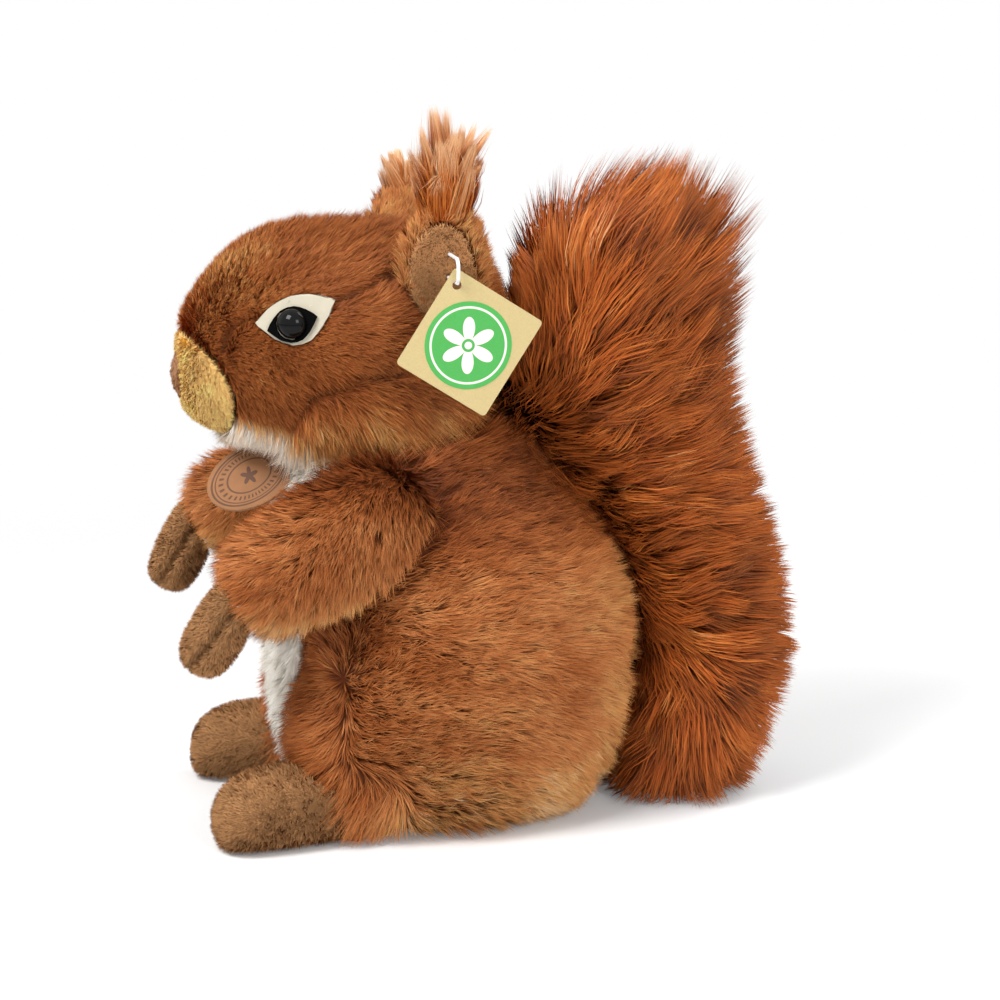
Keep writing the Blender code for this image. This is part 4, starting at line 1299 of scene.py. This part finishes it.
def rosette(tree, reach, angle):
    """1 on the pale lines of the print: a ring, six petals and a hub."""
    ring = sums(tree, "MULTIPLY", inside(tree, reach, RING[0], -PRINT_EDGE), inside(tree, reach, RING[1]))
    wave = sums(tree, "ABSOLUTE", sums(tree, "COSINE", sums(tree, "MULTIPLY", angle, 3.0)))
    petal = sums(tree, "MULTIPLY_ADD", wave, PETAL_LENGTH, PETAL_ROOT)
    petals = inside(tree, sums(tree, "SUBTRACT", reach, petal), 0.0)
    petals = sums(tree, "MULTIPLY", petals, inside(tree, reach, HEART_RADIUS, -PRINT_EDGE))
    return sums(tree, "MAXIMUM", ring, sums(tree, "MAXIMUM", petals, inside(tree, reach, HUB_RADIUS)))


def make_tag(settings, dyes):
    """The card tag with a printed rosette, and its fastener."""
    low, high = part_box("hang_tag")
    across = Vector((0, math.cos(TAG_SLANT), math.sin(TAG_SLANT)))
    up = Vector((0, -math.sin(TAG_SLANT), math.cos(TAG_SLANT)))
    material, tree, shader = new_material("kraft_card", 0.75, 0.3)
    _, _, reach, angle = flat_place(tree, (low + high) / 2 - up * DISC_DROP, across, up)
    fibre = noise(tree, object_place(tree), 1800.0, 4.0, 0.7)
    specks = steps(tree, noise(tree, object_place(tree), 3200.0, 2.0), 0.62, 0.72)
    card = mix(tree, fibre, tinted(dyes.kraft, 0.82), tinted(dyes.kraft, 1.12))
    card = mix(tree, sums(tree, "MULTIPLY", specks, 0.35), card, CARD_SPECK)
    green = mix(tree, fibre, tinted(dyes.green, 0.85), tinted(dyes.green, 1.12))
    printed = mix(tree, rosette(tree, reach, angle), green, PRINT_PALE)
    side = tree.nodes.new("ShaderNodeNewGeometry")
    facing = steps(tree, turns(tree, "DOT_PRODUCT", side.outputs["True Normal"], (1.0, 0.0, 0.0)), 0.5, 0.8)
    disc = sums(tree, "MULTIPLY", inside(tree, reach, DISC_RADIUS), facing)
    feed(tree, shader.inputs["Base Color"], mix(tree, disc, card, printed))
    relief(tree, shader, fibre, 0.00005, 0.35)
    paint("hang_tag", material)
    paint("tag_loop", cloudy_plastic("nylon", dyes.white, dark=0.9, scale=600.0, roughness=0.35))


def make_badge(settings, dyes):
    """The leather badge with burnt oval lines, a band of beads and a small star."""
    middle, along, across = plate_frame("badge")
    material, tree, shader = new_material("leather", 0.6, 0.4)
    a, b, reach, angle = flat_place(tree, middle, along, across)
    shares = [sums(tree, "POWER", sums(tree, "DIVIDE", value, half), 2.0)
              for value, half in zip((a, b), BADGE_HALVES)]
    oval = sums(tree, "SQRT", sums(tree, "ADD", *shares))
    beads = sums(tree, "COSINE", sums(tree, "MULTIPLY", angle, float(BADGE_BEADS)))
    band = sums(tree, "MULTIPLY", steps(tree, oval, 0.58, 0.61), steps(tree, oval, 0.72, 0.69))
    lines = sums(tree, "MULTIPLY", band, steps(tree, beads, 0.1, 0.5))
    for place, thick in BADGE_RINGS:
        off = sums(tree, "ABSOLUTE", sums(tree, "SUBTRACT", oval, place))
        lines = sums(tree, "MAXIMUM", lines, steps(tree, off, thick + 0.012, thick - 0.004))
    points = sums(tree, "COSINE", sums(tree, "MULTIPLY", angle, float(STAR_POINTS)))
    star = sums(tree, "MULTIPLY_ADD", points, STAR_DEPTH, STAR_RADIUS)
    lines = sums(tree, "MAXIMUM", lines, inside(tree, sums(tree, "SUBTRACT", reach, star), 0.0, 0.0001))
    grain = noise(tree, object_place(tree), 1500.0, 5.0, 0.65)
    blotch = noise(tree, object_place(tree), 160.0, 2.0)
    hide = mix(tree, blotch, tinted(dyes.leather, 0.78), tinted(dyes.leather, 1.2))
    hide = mix(tree, sums(tree, "MULTIPLY", grain, 0.5), hide, tinted(dyes.leather, 0.55))
    burnt = mix(tree, sums(tree, "MULTIPLY", lines, 0.85), hide, tuple(dyes.ink))
    feed(tree, shader.inputs["Base Color"], burnt)
    relief(tree, shader, sums(tree, "SUBTRACT", sums(tree, "MULTIPLY", grain, 0.4), lines), 0.00015, 0.5)
    paint("badge", material)


def make_washers(settings, dyes):
    """The washers that lock the eyes from inside the head."""
    material = cloudy_plastic("washer_plastic", dyes.white, dark=0.85, scale=500.0, roughness=0.4)
    for side in SIDES:
        paint(f"{side}_eye_washer", material)


def add_lamp(name, place, target, size, power):
    """One square lamp, aimed at the target."""
    light = bpy.data.lights.new(name, "AREA")
    light.shape = "SQUARE"
    light.size = size
    light.energy = power
    lamp = bpy.data.objects.new(name, light)
    lamp.location = place
    lamp.rotation_mode = "QUATERNION"
    lamp.rotation_quaternion = (Vector(target) - Vector(place)).to_track_quat("-Z", "Y")
    bpy.context.scene.collection.objects.link(lamp)


def around(target, azimuth, elevation, distance):
    """A place round the target, from its azimuth, elevation and distance."""
    level = math.cos(elevation)
    back = Vector((math.sin(azimuth) * level, -math.cos(azimuth) * level, math.sin(elevation)))
    return Vector(target) + back * distance


def make_stage(stage):
    """Camera, pale floor, soft lamps and white surroundings."""
    scene = bpy.context.scene
    scene.view_settings.view_transform = "Standard"
    camera = bpy.data.cameras.new("camera")
    camera.lens = stage.lens
    camera.sensor_width = SENSOR_WIDTH
    eye = bpy.data.objects.new("camera", camera)
    eye.location = around(stage.target, stage.azimuth, stage.elevation, stage.distance)
    eye.rotation_mode = "QUATERNION"
    eye.rotation_quaternion = (Vector(stage.target) - eye.location).to_track_quat("-Z", "Y")
    scene.collection.objects.link(eye)
    scene.camera = eye

    bm = bmesh.new()
    bmesh.ops.create_grid(bm, x_segments=1, y_segments=1, size=stage.floor_size / 2)
    mesh = bpy.data.meshes.new("floor")
    bm.to_mesh(mesh)
    bm.free()
    floor = bpy.data.objects.new("floor", mesh)
    scene.collection.objects.link(floor)
    mesh.materials.append(floor_finish())

    world = bpy.data.worlds.new("surroundings")
    scene.world = world
    world.use_nodes = True
    tree = world.node_tree
    background = tree.nodes["Background"]
    path = tree.nodes.new("ShaderNodeLightPath")
    mirrored = sums(tree, "MAXIMUM", path.outputs["Is Glossy Ray"], path.outputs["Is Transmission Ray"])
    seen = sums(tree, "MAXIMUM", path.outputs["Is Camera Ray"], mirrored)
    strength = sums(tree, "MULTIPLY_ADD", seen, 1.0 - stage.world_light, stage.world_light)
    feed(tree, background.inputs["Strength"], strength)
    background.inputs["Color"].default_value = (1, 1, 1, 1)

    for name, (azimuth, elevation, distance, size, setting) in LAMPS.items():
        place = around(LAMP_AIM, math.radians(azimuth), math.radians(elevation), distance)
        add_lamp(name, place, LAMP_AIM, size, getattr(stage, setting))


def floor_finish():
    """White under the lamps, with the shadow kept, and plain white far away."""
    material, tree, shader = new_material("floor", 0.9, 0.1)
    shader.inputs["Base Color"].default_value = (FLOOR_WHITE, FLOOR_WHITE, FLOOR_WHITE, 1)
    path = tree.nodes.new("ShaderNodeLightPath")
    away = turns(tree, "LENGTH", object_place(tree))
    far = steps(tree, away, *FLOOR_FADE)
    glow = tree.nodes.new("ShaderNodeEmission")
    glow.inputs["Strength"].default_value = 1.0
    lift = tree.nodes.new("ShaderNodeEmission")
    feed(tree, lift.inputs["Strength"], sums(tree, "MULTIPLY", path.outputs["Is Camera Ray"], FLOOR_LIFT))
    lit = tree.nodes.new("ShaderNodeAddShader")
    tree.links.new(shader.outputs["BSDF"], lit.inputs[0])
    tree.links.new(lift.outputs["Emission"], lit.inputs[1])
    both = tree.nodes.new("ShaderNodeMixShader")
    feed(tree, both.inputs[0], sums(tree, "MULTIPLY", far, path.outputs["Is Camera Ray"]))
    tree.links.new(lit.outputs["Shader"], both.inputs[1])
    tree.links.new(glow.outputs["Emission"], both.inputs[2])
    tree.links.new(both.outputs["Shader"], tree.nodes["Material Output"].inputs["Surface"])
    return material


def run(make, context):
    """Makes one piece with the lengths and dyes of the scene."""
    make(context.scene.plush_coat, context.scene.plush_dyes)
    return {"FINISHED"}


class PLUSH_OT_stage(bpy.types.Operator):
    """Adds the camera, floor, lamps and surroundings."""

    bl_idname = "plush.stage"
    bl_label = "Stage"

    def execute(self, context):
        make_stage(context.scene.plush_stage)
        return {"FINISHED"}


class PLUSH_OT_body(bpy.types.Operator):
    """Grows the short pile on the body."""

    bl_idname = "plush.body"
    bl_label = "Body pile"

    def execute(self, context):
        return run(make_body, context)


class PLUSH_OT_head(bpy.types.Operator):
    """Grows the pile on the head, with its seams and ruff."""

    bl_idname = "plush.head"
    bl_label = "Head pile"

    def execute(self, context):
        return run(make_head, context)


class PLUSH_OT_arms(bpy.types.Operator):
    """Grows the pile on both sleeves."""

    bl_idname = "plush.arms"
    bl_label = "Sleeves"

    def execute(self, context):
        return run(make_arms, context)


class PLUSH_OT_paws(bpy.types.Operator):
    """Covers both paws with plush."""

    bl_idname = "plush.paws"
    bl_label = "Paws"

    def execute(self, context):
        return run(make_paws, context)


class PLUSH_OT_feet(bpy.types.Operator):
    """Covers both feet with plush."""

    bl_idname = "plush.feet"
    bl_label = "Feet"

    def execute(self, context):
        return run(make_feet, context)


class PLUSH_OT_belly(bpy.types.Operator):
    """Grows the white pile on the belly panel."""

    bl_idname = "plush.belly"
    bl_label = "Belly panel"

    def execute(self, context):
        return run(make_belly, context)


class PLUSH_OT_snout(bpy.types.Operator):
    """Covers the snout and the nose."""

    bl_idname = "plush.snout"
    bl_label = "Snout and nose"

    def execute(self, context):
        return run(make_snout, context)


class PLUSH_OT_ears(bpy.types.Operator):
    """Grows the pile on the ears and lines them."""

    bl_idname = "plush.ears"
    bl_label = "Ears"

    def execute(self, context):
        return run(make_ears, context)


class PLUSH_OT_tufts(bpy.types.Operator):
    """Adds the fan of locks on each ear."""

    bl_idname = "plush.tufts"
    bl_label = "Ear tufts"

    def execute(self, context):
        return run(make_tufts, context)


class PLUSH_OT_tail(bpy.types.Operator):
    """Grows the long pile of the tail."""

    bl_idname = "plush.tail"
    bl_label = "Tail"

    def execute(self, context):
        return run(make_tail, context)


class PLUSH_OT_eyes(bpy.types.Operator):
    """Turns the eyes and fuzzes their felts."""

    bl_idname = "plush.eyes"
    bl_label = "Eyes"

    def execute(self, context):
        return run(make_eyes, context)


class PLUSH_OT_tag(bpy.types.Operator):
    """Finishes the card tag and its fastener."""

    bl_idname = "plush.tag"
    bl_label = "Card tag"

    def execute(self, context):
        return run(make_tag, context)


class PLUSH_OT_badge(bpy.types.Operator):
    """Finishes the leather badge."""

    bl_idname = "plush.badge"
    bl_label = "Badge"

    def execute(self, context):
        return run(make_badge, context)


class PLUSH_OT_washers(bpy.types.Operator):
    """Finishes the washers inside the head."""

    bl_idname = "plush.washers"
    bl_label = "Eye washers"

    def execute(self, context):
        return run(make_washers, context)


class PLUSH_PT_panel(bpy.types.Panel):
    """Lists the steps and the sizes and colours that they use."""

    bl_idname = "PLUSH_PT_panel"
    bl_label = "Plush Squirrel"
    bl_space_type = "VIEW_3D"
    bl_region_type = "UI"
    bl_category = "Plush"

    def draw(self, context):
        for operator in OPERATORS:
            self.layout.operator(operator.bl_idname)
        for settings in (context.scene.plush_stage, context.scene.plush_coat, context.scene.plush_dyes):
            box = self.layout.box()
            for name in settings.__annotations__:
                box.prop(settings, name)


OPERATORS = (
    PLUSH_OT_stage,
    PLUSH_OT_body,
    PLUSH_OT_head,
    PLUSH_OT_arms,
    PLUSH_OT_paws,
    PLUSH_OT_feet,
    PLUSH_OT_belly,
    PLUSH_OT_snout,
    PLUSH_OT_ears,
    PLUSH_OT_tufts,
    PLUSH_OT_tail,
    PLUSH_OT_eyes,
    PLUSH_OT_tag,
    PLUSH_OT_badge,
    PLUSH_OT_washers,
)
CLASSES = (StageSettings, CoatSettings, DyeSettings, *OPERATORS, PLUSH_PT_panel)


def register():
    """Registers the classes and the settings of the scene."""
    for cls in CLASSES:
        bpy.utils.register_class(cls)
    bpy.types.Scene.plush_stage = PointerProperty(type=StageSettings)
    bpy.types.Scene.plush_coat = PointerProperty(type=CoatSettings)
    bpy.types.Scene.plush_dyes = PointerProperty(type=DyeSettings)


def unregister():
    """Takes them away again."""
    for name in ("plush_dyes", "plush_coat", "plush_stage"):
        delattr(bpy.types.Scene, name)
    for cls in reversed(CLASSES):
        bpy.utils.unregister_class(cls)


def main():
    """Makes every piece and the stage."""
    register()
    for operator in OPERATORS:
        getattr(bpy.ops.plush, operator.bl_idname.split(".")[1])()


if __name__ == "__main__":
    main()
